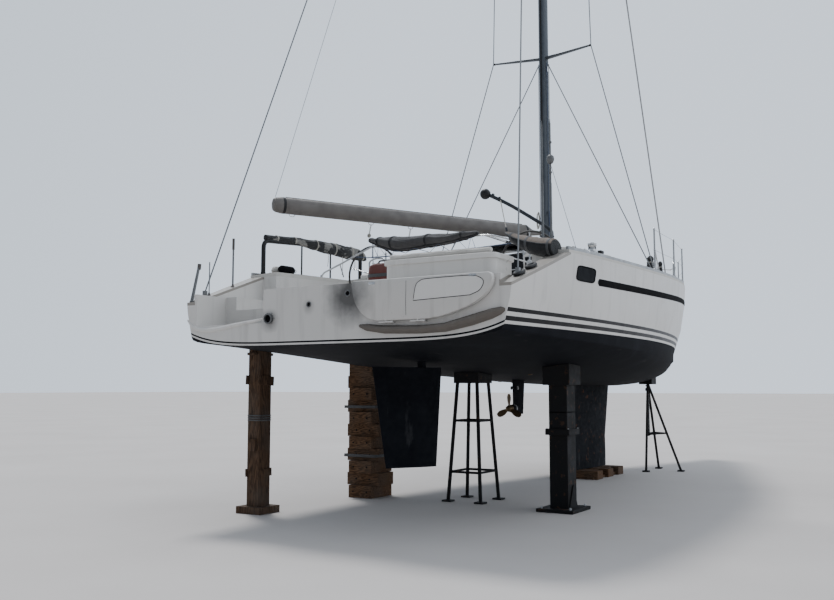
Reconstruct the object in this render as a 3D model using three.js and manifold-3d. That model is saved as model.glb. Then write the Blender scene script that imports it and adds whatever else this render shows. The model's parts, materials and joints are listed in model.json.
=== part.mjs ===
// Wide-sterned sailing yacht laid up ashore on keel blocks, shores and stands.
// Millimetres. +X forward, +Y port, +Z up; the origin is on the ground under the keel block.
// Stations count forward from the lower edge of the transom.
import * as THREE from 'three';
import { mergeVertices } from 'three/addons/utils/BufferGeometryUtils.js';
import Module from 'manifold-3d';

const wasm = await Module();
wasm.setup();

// Driving dimensions
const KEEL_STATION = 8000;
const WATERLINE_Z = 2250;
const SEAT_GAP = 0.3;
const PLAY = 8;
const RUNNING = 0.4;

const DECK_EDGE = 35;
const DECK_CAMBER = 0.03;
const DECK_AFT = 1300;

const WING_AFT_Z = 2690;
const WING_FORE_Z = 3150;
const WING_INNER_Y = 2130;
const TRANSOM_TOP_Z = 2790;
const SCOOP = { inner: 1000, outer: 2080, floor: 2390, riser: 520 };

const SOLE_Z = 2620;
const SEAT_Z = 3020;
const HELM_WELL = { aft: 240, fore: 3000, half: 1900 };
const BENCH = { aft: 400, fore: 950, inner: 420, outer: 1870, seat: 3080 };
const SEAT_WELL = { fore: 4600, half: 1550, sole: 900 };
const CABIN_WELL = { aft: 4850, fore: 8200, half: 950, floor: 1950 };
const COMPANION = { half: 330, sill: 2980 };
const FORE_HATCH = { t: 10600, half: 250, floor: 3150 };
const ROOF_HATCH = { t: 8300, half: 240 };

const MAST = { t: 6200, fore: 115, side: 75, foot: 3895, head: 20900 };
const SPREADERS = [
  { z: 7400, reach: 900 },
  { z: 11700, reach: 800 },
  { z: 16000, reach: 640 },
];
const GOOSENECK = 34;
const BOOM = { t: 6000, z: 4250, length: 4900, swing: 28, wide: 95, tall: 120, vang: 330 };
const CHAINPLATE = { t: 5750, y: 2040 };
const FORESTAY = { t: 13620, z: 4010 };
const BACKSTAY = { t: 260, y: 2205 };

const RUDDER = { t: 2000, top: 1890, tip: 600, head: 2430, stock: 55, turn: 30 };
const DRIVE = { t: 4950, shaft: 1300 };
const PROP_RADIUS = 240;
const KEEL_FOOT_Z = 150;

const HELM = { t: 2700, y: 1250, z: 3270, radius: 420, rim: 14 };
const DAVIT = { t: 1600, y: -2030, radius: 21, ball: 65 };
const ANTENNA = { t: 1460, aftY: -1975, foreY: -2080, top: 4800, ball: 4290 };

// Hull offsets: station, deck half breadth, deck height, waterline half breadth,
// bottom height, bilge fullness
const HULL = [
  [0, 2290, 3080, 2160, 2110, 2.6],
  [1400, 2370, 3150, 2250, 2010, 2.6],
  [3000, 2400, 3200, 2290, 1870, 2.5],
  [5000, 2340, 3270, 2190, 1740, 2.4],
  [7000, 2090, 3370, 1880, 1670, 2.3],
  [9000, 1630, 3480, 1380, 1660, 2.2],
  [11000, 1010, 3620, 760, 1750, 2.0],
  [12500, 520, 3740, 340, 1890, 1.9],
  [13500, 190, 3825, 95, 2050, 1.8],
  [14050, 35, 3870, 22, 2140, 1.8],
];
const STEM = { t: 14050, z: 3870, start: 12300, rake: 170, forefoot: 320 };
const STATIONS = [
  0, 420, 860, 1300, 1800, 2350, 2900, 3500, 4100, 4700, 5300, 5900, 6500, 7100, 7700, 8300,
  8900, 9500, 10100, 10700, 11250, 11800, 12300, 12750, 13150, 13500, 13800, STEM.t,
];

// Coachroof offsets: station, half breadth at the deck, height above the deck
const ROOF = [
  [4600, 1230, 470],
  [6000, 1240, 406],
  [7500, 1120, 320],
  [8800, 900, 210],
  [9700, 640, 60],
];
const ROOF_STATIONS = [4600, 5300, 6100, 6900, 7700, 8500, 9300, 9700];

// Shared maths

const atX = (t) => t - KEEL_STATION;
const vec = (t, y, z) => new THREE.Vector3(atX(t), y, z);

// Smooth interpolation of one row of a table whose first column is the station
function faired(table, t) {
  let i = 0;
  while (i + 2 < table.length && t > table[i + 1][0]) i += 1;
  const [p, q] = [table[i], table[i + 1]];
  const before = table[Math.max(i - 1, 0)];
  const after = table[Math.min(i + 2, table.length - 1)];
  const span = q[0] - p[0];
  const u = (t - p[0]) / span;
  return p.map((value, k) => {
    if (k === 0) return t;
    const slopeP = (span * (q[k] - before[k])) / (q[0] - before[0]);
    const slopeQ = (span * (after[k] - value)) / (after[0] - p[0]);
    const h = u * u * (3 - 2 * u);
    const leaving = u * u * u - 2 * u * u + u;
    const arriving = u * u * u - u * u;
    return value + h * (q[k] - value) + leaving * slopeP + arriving * slopeQ;
  });
}

function hullRow(t) {
  const [, half, deck, water, bottom, full] = faired(HULL, t);
  return { t, half, deck, water, bottom, full };
}

// Solids

function solid(geometry) {
  const bare = geometry.clone();
  bare.deleteAttribute('normal');
  bare.deleteAttribute('uv');
  const merged = mergeVertices(bare, 1e-3);
  return new wasm.Manifold(
    new wasm.Mesh({
      numProp: 3,
      vertProperties: new Float32Array(merged.attributes.position.array),
      triVerts: new Uint32Array(merged.index.array),
    }),
  );
}

const join = (...solids) => solids.reduce((a, b) => a.add(b));
const cut = (body, ...tools) => tools.reduce((a, b) => a.subtract(b), body);

function block(t0, t1, y0, y1, z0, z1) {
  const geometry = new THREE.BoxGeometry(t1 - t0, y1 - y0, z1 - z0);
  geometry.translate(atX((t0 + t1) / 2), (y0 + y1) / 2, (z0 + z1) / 2);
  return solid(geometry);
}

function rod(from, to, radius, sides = 8, endRadius = radius) {
  const along = new THREE.Vector3().subVectors(to, from);
  const geometry = new THREE.CylinderGeometry(endRadius, radius, along.length(), sides);
  const turn = new THREE.Quaternion().setFromUnitVectors(
    new THREE.Vector3(0, 1, 0),
    along.clone().normalize(),
  );
  geometry.applyQuaternion(turn);
  geometry.translate(...new THREE.Vector3().addVectors(from, to).multiplyScalar(0.5).toArray());
  return solid(geometry);
}

function ball(centre, radius, sides = 8) {
  const geometry = new THREE.SphereGeometry(radius, sides, Math.max(4, sides / 2));
  geometry.translate(...centre.toArray());
  return solid(geometry);
}

// A bent tube through a row of points, with a ball at each bend
function bentTube(points, radius, sides = 8) {
  const legs = points.slice(1).map((to, i) => rod(points[i], to, radius, sides));
  const bends = points.slice(1, -1).map((point) => ball(point, radius, sides));
  return join(...legs, ...bends);
}

// A tube along a smooth curve
function curvedTube(points, radius, steps = 12, sides = 8) {
  const outline = new THREE.Shape();
  for (let i = 0; i < sides; i += 1) {
    const angle = (2 * Math.PI * i) / sides;
    const [x, y] = [radius * Math.cos(angle), radius * Math.sin(angle)];
    if (i === 0) outline.moveTo(x, y);
    else outline.lineTo(x, y);
  }
  return solid(
    new THREE.ExtrudeGeometry(outline, {
      steps,
      bevelEnabled: false,
      extrudePath: new THREE.CatmullRomCurve3(points),
    }),
  );
}

// A skin over like rings of points, each ring anticlockwise seen from ahead, first ring aftmost
function loft(rings) {
  const count = rings[0].length;
  const faces = [];
  for (let i = 0; i + 1 < rings.length; i += 1) {
    for (let j = 0; j < count; j += 1) {
      const [a, b] = [i * count + j, i * count + ((j + 1) % count)];
      faces.push(a, b, b + count, a, b + count, a + count);
    }
  }
  const cap = (ring, offset, facing) => {
    const flat = ring.map((p) => new THREE.Vector2(p.y, p.z));
    for (const [a, b, c] of THREE.ShapeUtils.triangulateShape(flat, [])) {
      const [p, q, r] = [flat[a], flat[b], flat[c]];
      const turn = (q.x - p.x) * (r.y - p.y) - (q.y - p.y) * (r.x - p.x);
      if (turn * facing > 0) faces.push(offset + a, offset + b, offset + c);
      else faces.push(offset + a, offset + c, offset + b);
    }
  };
  cap(rings[0], 0, -1);
  cap(rings[rings.length - 1], (rings.length - 1) * count, 1);
  const geometry = new THREE.BufferGeometry();
  const points = rings.flat().flatMap((p) => [p.x, p.y, p.z]);
  geometry.setAttribute('position', new THREE.Float32BufferAttribute(points, 3));
  geometry.setIndex(faces);
  return solid(geometry);
}

// A skin over oval sections set across the boat, starboard section first
function crossLoft(sections, sides = 12) {
  const rings = sections.map(({ y, t, z, long, tall }) => {
    const points = [];
    for (let i = 0; i < sides; i += 1) {
      const angle = (2 * Math.PI * i) / sides;
      points.push(new THREE.Vector3(y, long * Math.cos(angle) - atX(t), z + tall * Math.sin(angle)));
    }
    return points;
  });
  const geometry = surface(loft(rings));
  geometry.rotateZ(Math.PI / 2);
  return solid(geometry);
}

// An outline of [station, height] points drawn across the boat from y0 to y1
function slab(outline, y0, y1) {
  const shape = new THREE.Shape(outline.map(([t, z]) => new THREE.Vector2(atX(t), z)));
  const geometry = new THREE.ExtrudeGeometry(shape, { depth: y1 - y0, bevelEnabled: false });
  geometry.rotateX(Math.PI / 2);
  geometry.translate(0, y1, 0);
  return solid(geometry);
}

// A flat plate with round corners, in the XY plane, centred on the origin
function roundedPlate(length, width, thickness, corner, arc = 3) {
  const [x, y] = [length / 2, width / 2];
  const shape = new THREE.Shape();
  shape.moveTo(-x + corner, -y);
  shape.lineTo(x - corner, -y);
  shape.absarc(x - corner, -y + corner, corner, -Math.PI / 2, 0);
  shape.absarc(x - corner, y - corner, corner, 0, Math.PI / 2);
  shape.absarc(-x + corner, y - corner, corner, Math.PI / 2, Math.PI);
  shape.absarc(-x + corner, -y + corner, corner, Math.PI, 1.5 * Math.PI);
  return new THREE.ExtrudeGeometry(shape, {
    depth: thickness,
    bevelEnabled: false,
    curveSegments: arc,
  });
}

function plateAt(length, width, thickness, corner, t, y, z) {
  const geometry = roundedPlate(length, width, thickness, corner);
  geometry.translate(atX(t), y, z);
  return solid(geometry);
}

// Knuckles of a hinge: the moving ones carried by an arm to the lid, the fixed ones by a foot
const KNUCKLE = { radius: 9, half: 30, pitch: 60.4 };
function hingeSet(centres, along, armTo, footTo) {
  const unit = along.clone().normalize();
  const barrel = (c, at) =>
    rod(
      c.clone().addScaledVector(unit, at - KNUCKLE.half),
      c.clone().addScaledVector(unit, at + KNUCKLE.half),
      KNUCKLE.radius, 8,
    );
  const web = (c, at, to) => {
    const mid = c.clone().addScaledVector(unit, at);
    return rod(mid, mid.clone().add(to), KNUCKLE.radius * 0.9, 8);
  };
  const moving = centres.map((c) => join(barrel(c, 0), web(c, 0, armTo)));
  const fixed = centres.flatMap((c) =>
    [-KNUCKLE.pitch, KNUCKLE.pitch].map((at) => join(barrel(c, at), web(c, at, footTo))));
  return { moving, fixed };
}

// A streamlined section, nose forward, as ring points at one height
const FOIL = [
  [1, 0], [0.985, 0.32], [0.92, 0.7], [0.8, 0.95], [0.62, 1], [0.4, 0.78], [0.18, 0.4],
  [0, 0.06],
];

function foilBlade(levels) {
  const rings = levels.map(({ z, aft, chord, thick }) => {
    const half = FOIL.map(([u, v]) => [aft + u * chord, (v * thick) / 2]);
    const mirrored = half.slice(1).reverse().map(([x, y]) => [x, -y]);
    return [...mirrored, ...half].map(([x, y]) => new THREE.Vector3(x, y, z));
  });
  const count = rings[0].length;
  const faces = [];
  for (let i = 0; i + 1 < rings.length; i += 1) {
    for (let j = 0; j < count; j += 1) {
      const [a, b] = [i * count + j, i * count + ((j + 1) % count)];
      faces.push(a, b, b + count, a, b + count, a + count);
    }
  }
  const flat = rings[0].map((p) => new THREE.Vector2(p.x, p.y));
  for (const [a, b, c] of THREE.ShapeUtils.triangulateShape(flat, [])) {
    const [p, q, r] = [flat[a], flat[b], flat[c]];
    const turn = (q.x - p.x) * (r.y - p.y) - (q.y - p.y) * (r.x - p.x);
    const [u, v] = turn > 0 ? [b, c] : [c, b];
    const top = (rings.length - 1) * count;
    faces.push(a, v, u, top + a, top + u, top + v);
  }
  const geometry = new THREE.BufferGeometry();
  const points = rings.flat().flatMap((p) => [p.x, p.y, p.z]);
  geometry.setAttribute('position', new THREE.Float32BufferAttribute(points, 3));
  geometry.setIndex(faces);
  return geometry;
}

// Hull and deck

const BILGE_STEPS = 9;

function stemShift(t, z) {
  const u = Math.max(0, (t - STEM.start) / (STEM.t - STEM.start));
  const above = (STEM.z - z) / (STEM.z - WATERLINE_Z);
  const below = Math.max(0, WATERLINE_Z - z) / 110;
  return -u * u * (STEM.rake * Math.min(above, 1) + STEM.forefoot * Math.min(below, 1));
}

function halfSection({ half, deck, water, bottom, full }) {
  const points = [[0, bottom]];
  for (let i = 1; i <= BILGE_STEPS; i += 1) {
    const angle = (Math.PI / 2) * (1 - i / BILGE_STEPS);
    const out = Math.cos(angle) ** (2 / full);
    const down = Math.sin(angle) ** (2 / full);
    points.push([water * out, WATERLINE_Z - (WATERLINE_Z - bottom) * down]);
  }
  const swell = (half - water) * 0.22;
  points.push([water + (half - water) * 0.35 + swell, WATERLINE_Z + (deck - WATERLINE_Z) * 0.35]);
  points.push([water + (half - water) * 0.7 + swell * 0.8, WATERLINE_Z + (deck - WATERLINE_Z) * 0.7]);
  points.push([half, deck]);
  return points;
}

function hullRing(t) {
  const side = halfSection(hullRow(t));
  const port = side.map(([y, z]) => new THREE.Vector3(atX(t) + stemShift(t, z), y, z));
  const starboard = side
    .slice(1)
    .reverse()
    .map(([y, z]) => new THREE.Vector3(atX(t) + stemShift(t, z), -y, z));
  return [...port, ...starboard];
}

const crownAt = (row) => DECK_EDGE + DECK_CAMBER * row.half;
const deckTop = (t) => hullRow(t).deck + crownAt(hullRow(t));

function deckRing(t, lift, drop) {
  const row = hullRow(t);
  const half = row.half - 6;
  const base = row.deck + SEAT_GAP - drop;
  const edge = row.deck + DECK_EDGE + lift;
  const crown = row.deck + crownAt(row) + lift;
  const shoulder = edge + 0.72 * (crown - edge);
  const outline = [
    [-half, base], [half, base], [half, edge], [half * 0.55, shoulder], [0, crown],
    [-half * 0.55, shoulder], [-half, edge],
  ];
  return outline.map(([y, z]) => new THREE.Vector3(atX(t), y, z));
}

const deckStations = STATIONS.filter((t) => t >= DECK_AFT);
const underDeck = loft(deckStations.map((t) => deckRing(t, SEAT_GAP, 900)));

const hullBlank = loft(STATIONS.map(hullRing));

const WING_LINE = [
  [-300, WING_AFT_Z - 100], [0, WING_AFT_Z], [DECK_AFT, WING_FORE_Z], [DECK_AFT, 3600], [-300, 3600],
];
const sternCuts = [
  slab(WING_LINE, WING_INNER_Y, 3000),
  slab(WING_LINE, -3000, -WING_INNER_Y),
  block(-300, DECK_AFT, -WING_INNER_Y - 1, WING_INNER_Y + 1, TRANSOM_TOP_Z, 3600),
  block(-200, SCOOP.riser, SCOOP.inner, SCOOP.outer, SCOOP.floor, 3600),
];
const helmWell = block(
  HELM_WELL.aft, HELM_WELL.fore, -HELM_WELL.half, HELM_WELL.half, SOLE_Z, 3600,
);
const seatWell = block(
  HELM_WELL.fore - 5, SEAT_WELL.fore, -SEAT_WELL.half, SEAT_WELL.half, SEAT_Z, 3600,
);
const soleWell = block(
  HELM_WELL.fore - 5, SEAT_WELL.fore, -SEAT_WELL.sole, SEAT_WELL.sole, SOLE_Z, 3600,
);
const cabinWell = block(
  CABIN_WELL.aft, CABIN_WELL.fore, -CABIN_WELL.half, CABIN_WELL.half, CABIN_WELL.floor, 3900,
);
const companionCut = block(
  SEAT_WELL.fore - 50, CABIN_WELL.aft + 10, -COMPANION.half, COMPANION.half, COMPANION.sill, 4300,
);
const foreHatchCut = block(
  FORE_HATCH.t - FORE_HATCH.half, FORE_HATCH.t + FORE_HATCH.half,
  -FORE_HATCH.half, FORE_HATCH.half, FORE_HATCH.floor, 4000,
);
const LOCKER = { aft: 3300, fore: 4300, inner: 1000, outer: 1450, floor: 2760 };
const lockerCut = (side) => {
  const [a, b] = [side * LOCKER.inner, side * LOCKER.outer].sort((p, q) => p - q);
  return block(LOCKER.aft, LOCKER.fore, a, b, LOCKER.floor, SEAT_Z + 50);
};
const rudderBore = rod(
  vec(RUDDER.t, 0, 1500), vec(RUDDER.t, 0, RUDDER.head), RUDDER.stock + 6, 24,
);

const hull = cut(
  hullBlank, ...sternCuts, helmWell, seatWell, soleWell, cabinWell, companionCut, foreHatchCut,
  lockerCut(1), lockerCut(-1), rudderBore,
);

const deck = cut(
  loft(deckStations.map((t) => deckRing(t, 0, 0))),
  helmWell, seatWell, cabinWell, companionCut, foreHatchCut,
);

// The hull lowered or swollen a little, to fit what bears on it from below
const hullSeat = solid(surface(hullBlank).translate(0, 0, -SEAT_GAP));

function surface(body) {
  const mesh = body.getMesh();
  const geometry = new THREE.BufferGeometry();
  geometry.setAttribute('position', new THREE.BufferAttribute(mesh.vertProperties, 3));
  geometry.setIndex(new THREE.BufferAttribute(mesh.triVerts, 1));
  return geometry;
}

// Coachroof

const doorBody = block(
  SEAT_WELL.fore - 36, SEAT_WELL.fore - 12, -COMPANION.half - 10, COMPANION.half + 10,
  COMPANION.sill + 10, deckTop(4600) + 330,
);
const doorHinges = hingeSet(
  [3130, 3480].map((z) => vec(SEAT_WELL.fore - 24, -COMPANION.half - 24, z)),
  new THREE.Vector3(0, 0, 1),
  new THREE.Vector3(0, 20, 0),
  new THREE.Vector3(34, -8, 0),
);
const companionDoor = join(doorBody, ...doorHinges.moving);

const ROOF_WALL = 45;

function roofRing(t, inset) {
  const [, half, height] = faired(ROOF, t);
  const edge = hullRow(t).deck + DECK_EDGE;
  const side = half - inset;
  const top = edge + height - inset;
  const outline = [
    [-side, edge - 60], [side, edge - 60], [side - 90, top - 60], [side - 190, top - 8],
    [0, top + 70], [-(side - 190), top - 8], [-(side - 90), top - 60],
  ];
  return outline.map(([y, z]) => new THREE.Vector3(atX(t), y, z));
}

function roofTop(t) {
  const [, , height] = faired(ROOF, t);
  return hullRow(t).deck + DECK_EDGE + height + 70;
}

const roofInside = loft(
  ROOF_STATIONS.map((t, i) => {
    const shift = i === 0 ? ROOF_WALL : i === ROOF_STATIONS.length - 1 ? -700 : 0;
    return roofRing(t + shift, ROOF_WALL);
  }),
);
const mastPad = block(MAST.t - 190, MAST.t + 170, -140, 140, MAST.foot - 130, MAST.foot);
const roofHatchCut = block(
  ROOF_HATCH.t - ROOF_HATCH.half, ROOF_HATCH.t + ROOF_HATCH.half,
  -ROOF_HATCH.half, ROOF_HATCH.half, 3600, 4300,
);
const roofHatchZ = roofTop(ROOF_HATCH.t - 280) + 8;
const roofHatchHinges = hingeSet(
  [-150, 150].map((y) => vec(ROOF_HATCH.t + 284, y, roofHatchZ + PLAY + 17)),
  new THREE.Vector3(0, 1, 0),
  new THREE.Vector3(-24, 0, 0),
  new THREE.Vector3(0, 0, -60),
);
const roofHatchFrame = block(
  ROOF_HATCH.t - 262, ROOF_HATCH.t + 300, -262, 262, roofHatchZ - 60, roofHatchZ,
);
const WINDOW = { aft: 5250, fore: 8050 };
function windowCut(side, inset = 0) {
  const z = (t, up) => hullRow(t).deck + DECK_EDGE + up;
  const outline = [
    [WINDOW.aft + inset, z(WINDOW.aft, 150) + 2 * inset],
    [WINDOW.fore - 14 * inset, z(WINDOW.fore, 120) + 2 * inset],
    [WINDOW.fore - 250 - inset, z(WINDOW.fore, 205) - 2 * inset],
    [WINDOW.aft + inset, z(WINDOW.aft, 300) - 2 * inset],
  ];
  return side > 0 ? slab(outline, 800, 1400) : slab(outline, -1400, -800);
}
const roofShell = join(cut(loft(ROOF_STATIONS.map((t) => roofRing(t, 0))), roofInside), mastPad);
const slideTop = Math.max(...[4600, 5300, 5900, 6100].map(roofTop));
const slideRails = [-1, 1].map((side) => {
  const [a, b] = [side * 345, side * 375].sort((p, q) => p - q);
  return block(4650, 5950, a, b, 3700, slideTop + 10);
});
const coachroof = cut(
  join(roofShell, ...slideRails, ...doorHinges.fixed, ...roofHatchHinges.fixed, roofHatchFrame),
  underDeck, companionCut, block(4500, 5200, -COMPANION.half, COMPANION.half, 3500, 4300),
  roofHatchCut, windowCut(1), windowCut(-1),
);

const glassSkin = (inset, reach) =>
  loft(
    ROOF_STATIONS.map((t, i) => {
      const last = i === ROOF_STATIONS.length - 1;
      return roofRing(t + (i === 0 ? -reach : last ? reach : 0), inset);
    }),
  );
const GLASS = { outer: 12, inner: 24, overrun: 50, edge: 0.35 };
const roofGlass = (side) =>
  windowCut(side, GLASS.edge)
    .intersect(glassSkin(GLASS.outer, 0))
    .subtract(glassSkin(GLASS.inner, GLASS.overrun));

// Cockpit and deck gear

function coaming(side) {
  const outline = [
    [3050, 3150], [4590, 3150], [4590, deckTop(4500) + 210], [3500, deckTop(3500) + 190],
    [3050, deckTop(3000) + 20],
  ];
  const [a, b] = [side * (SEAT_WELL.half + 15), side * (SEAT_WELL.half + 165)].sort((p, q) => p - q);
  return cut(slab(outline, a, b), underDeck);
}

const helmBench = (() => {
  const [long, wide] = [BENCH.fore - BENCH.aft, BENCH.outer - BENCH.inner];
  const [t, y] = [(BENCH.aft + BENCH.fore) / 2, -(BENCH.inner + BENCH.outer) / 2];
  return join(
    plateAt(long - 40, wide - 40, BENCH.seat - SOLE_Z - 50, 90, t, y, SOLE_Z + SEAT_GAP),
    plateAt(long, wide, 60, 90, t, y, BENCH.seat - 60),
  );
})();

function winch(side) {
  const y = side * (SEAT_WELL.half + 90);
  const z = deckTop(4000) + 195;
  const profile = [
    [0, 0], [78, 0], [78, 22], [58, 40], [52, 95], [66, 120], [66, 140], [30, 150], [0, 150],
  ];
  const geometry = new THREE.LatheGeometry(profile.map(([r, h]) => new THREE.Vector2(r, h)), 16);
  geometry.rotateX(Math.PI / 2);
  geometry.translate(atX(4000), y, z + SEAT_GAP);
  return cut(solid(geometry), solid(surface(coaming(side)).translate(0, 0, SEAT_GAP)));
}

function helmPedestal(side) {
  const y = side * HELM.y;
  const column = rod(vec(HELM.t + 170, y, SOLE_Z - 30), vec(HELM.t + 130, y, HELM.z - 40), 95, 12, 70);
  const head = block(HELM.t + 60, HELM.t + 215, y - 120, y + 120, HELM.z - 95, HELM.z + 120);
  const shaft = rod(vec(HELM.t + 38 + RUNNING, y, HELM.z), vec(HELM.t + 70, y, HELM.z), 30, 12);
  const below = block(HELM.t - 100, HELM.t + 400, y - 300, y + 300, SOLE_Z - 200, SOLE_Z + SEAT_GAP);
  return cut(join(column, head, shaft), below);
}

function helmWheel(side) {
  const y = side * HELM.y;
  const rim = new THREE.TorusGeometry(HELM.radius, HELM.rim, 6, 36);
  rim.rotateY(Math.PI / 2);
  rim.translate(atX(HELM.t), y, HELM.z);
  const centre = vec(HELM.t, y, HELM.z);
  const spokes = [0, 1, 2, 3, 4].map((i) => {
    const angle = (2 * Math.PI * i) / 5;
    const [across, up] = [HELM.radius * Math.sin(angle), HELM.radius * Math.cos(angle)];
    const tip = vec(HELM.t, y + across, HELM.z + up);
    return rod(centre, tip, 9, 6);
  });
  const hub = rod(vec(HELM.t - 30, y, HELM.z), vec(HELM.t + 38, y, HELM.z), 42, 12);
  return join(solid(rim), hub, ...spokes);
}

const lidHinges = (side) =>
  hingeSet(
    [LOCKER.aft + 200, LOCKER.fore - 200].map((t) =>
      vec(t, side * (LOCKER.outer + 34), SEAT_Z + PLAY + 11)),
    new THREE.Vector3(1, 0, 0),
    new THREE.Vector3(0, -side * 24, 0),
    new THREE.Vector3(0, 0, -26),
  );

function lockerLid(side) {
  const y = (side * (LOCKER.inner + LOCKER.outer)) / 2;
  const lid = plateAt(LOCKER.fore - LOCKER.aft + 40, LOCKER.outer - LOCKER.inner + 40, 22, 40,
    (LOCKER.aft + LOCKER.fore) / 2, y, SEAT_Z + PLAY);
  return join(lid, ...lidHinges(side).moving);
}

const SLIDE = { aft: 4560, fore: 5260, half: 380 };
const companionSlide = block(
  SLIDE.aft, SLIDE.fore, -SLIDE.half, SLIDE.half, slideTop + 10 + RUNNING, slideTop + 42,
);

const ladder = (() => {
  const treads = [0, 1, 2, 3].map((i) =>
    block(CABIN_WELL.aft + 10 + i * 110, CABIN_WELL.aft + 160 + i * 110, -260, 260,
      2700 - i * 210, 2730 - i * 210));
  const sides = [-1, 1].map((side) => {
    const [a, b] = [side * 240, side * 262].sort((p, q) => p - q);
    return slab(
      [
        [CABIN_WELL.aft + 10, 2730], [CABIN_WELL.aft + 150, 2730],
        [CABIN_WELL.aft + 520, CABIN_WELL.floor + SEAT_GAP],
        [CABIN_WELL.aft + 380, CABIN_WELL.floor + SEAT_GAP],
      ], a, b);
  });
  return join(...treads, ...sides);
})();

const mastPost = rod(
  vec(MAST.t, 0, CABIN_WELL.floor + SEAT_GAP),
  vec(MAST.t, 0, MAST.foot - 130 - SEAT_GAP), 55, 12,
);

const foreHatchZ = deckTop(FORE_HATCH.t + 280) + 12;
const foreHatchHinges = hingeSet(
  [-150, 150].map((y) => vec(FORE_HATCH.t + 294, y, foreHatchZ + PLAY + 17)),
  new THREE.Vector3(0, 1, 0),
  new THREE.Vector3(-24, 0, 0),
  new THREE.Vector3(0, 0, -60),
);
const foreHatch = join(
  plateAt(560, 560, 34, 50, FORE_HATCH.t, 0, foreHatchZ + PLAY), ...foreHatchHinges.moving,
);
const foreCoaming = cut(
  join(
    block(FORE_HATCH.t - 272, FORE_HATCH.t + 308, -272, 272, 3550, foreHatchZ),
    ...foreHatchHinges.fixed,
  ),
  block(FORE_HATCH.t - 252, FORE_HATCH.t + 252, -252, 252, 3400, 4000),
  underDeck,
);
const roofHatch = join(
  plateAt(540, 540, 34, 50, ROOF_HATCH.t, 0, roofHatchZ + PLAY), ...roofHatchHinges.moving,
);

// Transom

const DOOR = { foot: 2345, thick: 80, lift: 15, bevel: 16 };
const doorAxis = { t: 9 - DOOR.lift - DOOR.thick, z: DOOR.foot - 14 };
const transomHinges = hingeSet(
  [-1200, -800].map((y) => vec(doorAxis.t, y, doorAxis.z)),
  new THREE.Vector3(0, 1, 0),
  new THREE.Vector3(0, 0, 40),
  new THREE.Vector3(DOOR.lift + DOOR.thick, 0, 0),
);

// The door's outline inside its bevel, as [side distance, height]: port end, then starboard end
const DOOR_PORT_END = [
  [-700, 2361], [-590, 2384], [-480, 2458], [-402, 2570], [-366, 2700], [-362, 2766], [-382, 2782],
];
const DOOR_STBD_END = [
  [-2030, 2782], [-2060, 2762], [-2060, 2700], [-2012, 2612], [-1903, 2526], [-1760, 2460],
  [-1500, 2385], [-1300, 2361],
];
const transomDoor = (() => {
  const { thick, bevel } = DOOR;
  const shape = new THREE.Shape();
  for (const [i, end] of [DOOR_PORT_END, DOOR_STBD_END].entries()) {
    const [first, ...others] = end.map(([y, z]) => new THREE.Vector2(y, z));
    if (i === 0) shape.moveTo(first.x, first.y);
    else shape.lineTo(first.x, first.y);
    shape.splineThru(others);
  }
  const geometry = new THREE.ExtrudeGeometry(shape, {
    depth: thick - 2 * bevel,
    bevelThickness: bevel,
    bevelSize: bevel,
    bevelSegments: 2,
    curveSegments: 2,
  });
  geometry.rotateX(Math.PI / 2);
  geometry.rotateZ(Math.PI / 2);
  geometry.translate(atX(bevel - DOOR.lift - thick), 0, 0);
  return join(solid(geometry), ...transomHinges.moving);
})();

// The moulded tread under the door: sections from its rounded starboard end to port
const TREAD = [
  { y: -2180, t: 30, z: 2412, long: 40, tall: 24 },
  { y: -2130, t: 26, z: 2402, long: 76, tall: 46 },
  { y: -2040, t: 18, z: 2378, long: 94, tall: 58 },
  { y: -1800, t: 10, z: 2318, long: 106, tall: 60 },
  { y: -1500, t: 4, z: 2256, long: 108, tall: 50 },
  { y: -1200, t: 2, z: 2242, long: 106, tall: 46 },
  { y: -730, t: 2, z: 2256, long: 104, tall: 46 },
  { y: -500, t: 6, z: 2286, long: 84, tall: 40 },
  { y: -400, t: 18, z: 2306, long: 40, tall: 20 },
];
const transomStep = cut(
  crossLoft(TREAD),
  solid(surface(hull).translate(-SEAT_GAP, 0, SEAT_GAP)),
);

const exhaust = (() => {
  const profile = [[48, 0], [62, 0], [62, 50], [48, 50], [48, 0]];
  const geometry = new THREE.LatheGeometry(profile.map(([r, h]) => new THREE.Vector2(r, h)), 12);
  geometry.rotateZ(Math.PI / 2);
  geometry.rotateY(-0.1);
  geometry.translate(atX(8), 900, 2440);
  return cut(solid(geometry), solid(surface(hull).translate(-SEAT_GAP, 0, 0)));
})();

// Rails

function toeRail(side) {
  const rings = deckStations.filter((t) => t < 13800).map((t) => {
    const row = hullRow(t);
    const z = row.deck + DECK_EDGE - 6;
    const [a, b] = side > 0 ? [row.half - 46, row.half - 14] : [-row.half + 14, -row.half + 46];
    return [[a, z], [b, z], [b, z + 44], [a, z + 44]].map(([y, h]) => new THREE.Vector3(atX(t), y, h));
  });
  const posts = [4700, 6300, 7900, 9500, 11100].map((t) => {
    const row = hullRow(t);
    const y = side * (row.half - 30);
    return rod(vec(t, y, row.deck + DECK_EDGE + 5), vec(t, y, row.deck + DECK_EDGE + 640), 13);
  });
  return cut(join(loft(rings), ...posts), underDeck);
}

const pulpit = (() => {
  const railTop = 4500;
  const foot = (t, side) => vec(t, side * (hullRow(t).half - 75), hullRow(t).deck);
  const bow = vec(13900, 0, railTop);
  const tubes = [];
  for (const side of [-1, 1]) {
    const head = vec(12350, side * 500, railTop - 20);
    const waist = vec(12450, side * 480, railTop - 300);
    tubes.push(bentTube([foot(12400, side), head, vec(13500, side * 230, railTop), bow], 15));
    tubes.push(bentTube([foot(13300, side), vec(13380, side * 265, railTop - 4)], 15));
    tubes.push(bentTube([waist, vec(13350, side * 250, railTop - 290)], 12));
  }
  return cut(join(...tubes), underDeck, block(13250, 14000, -60, 60, 3000, railTop - 250));
})();

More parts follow.
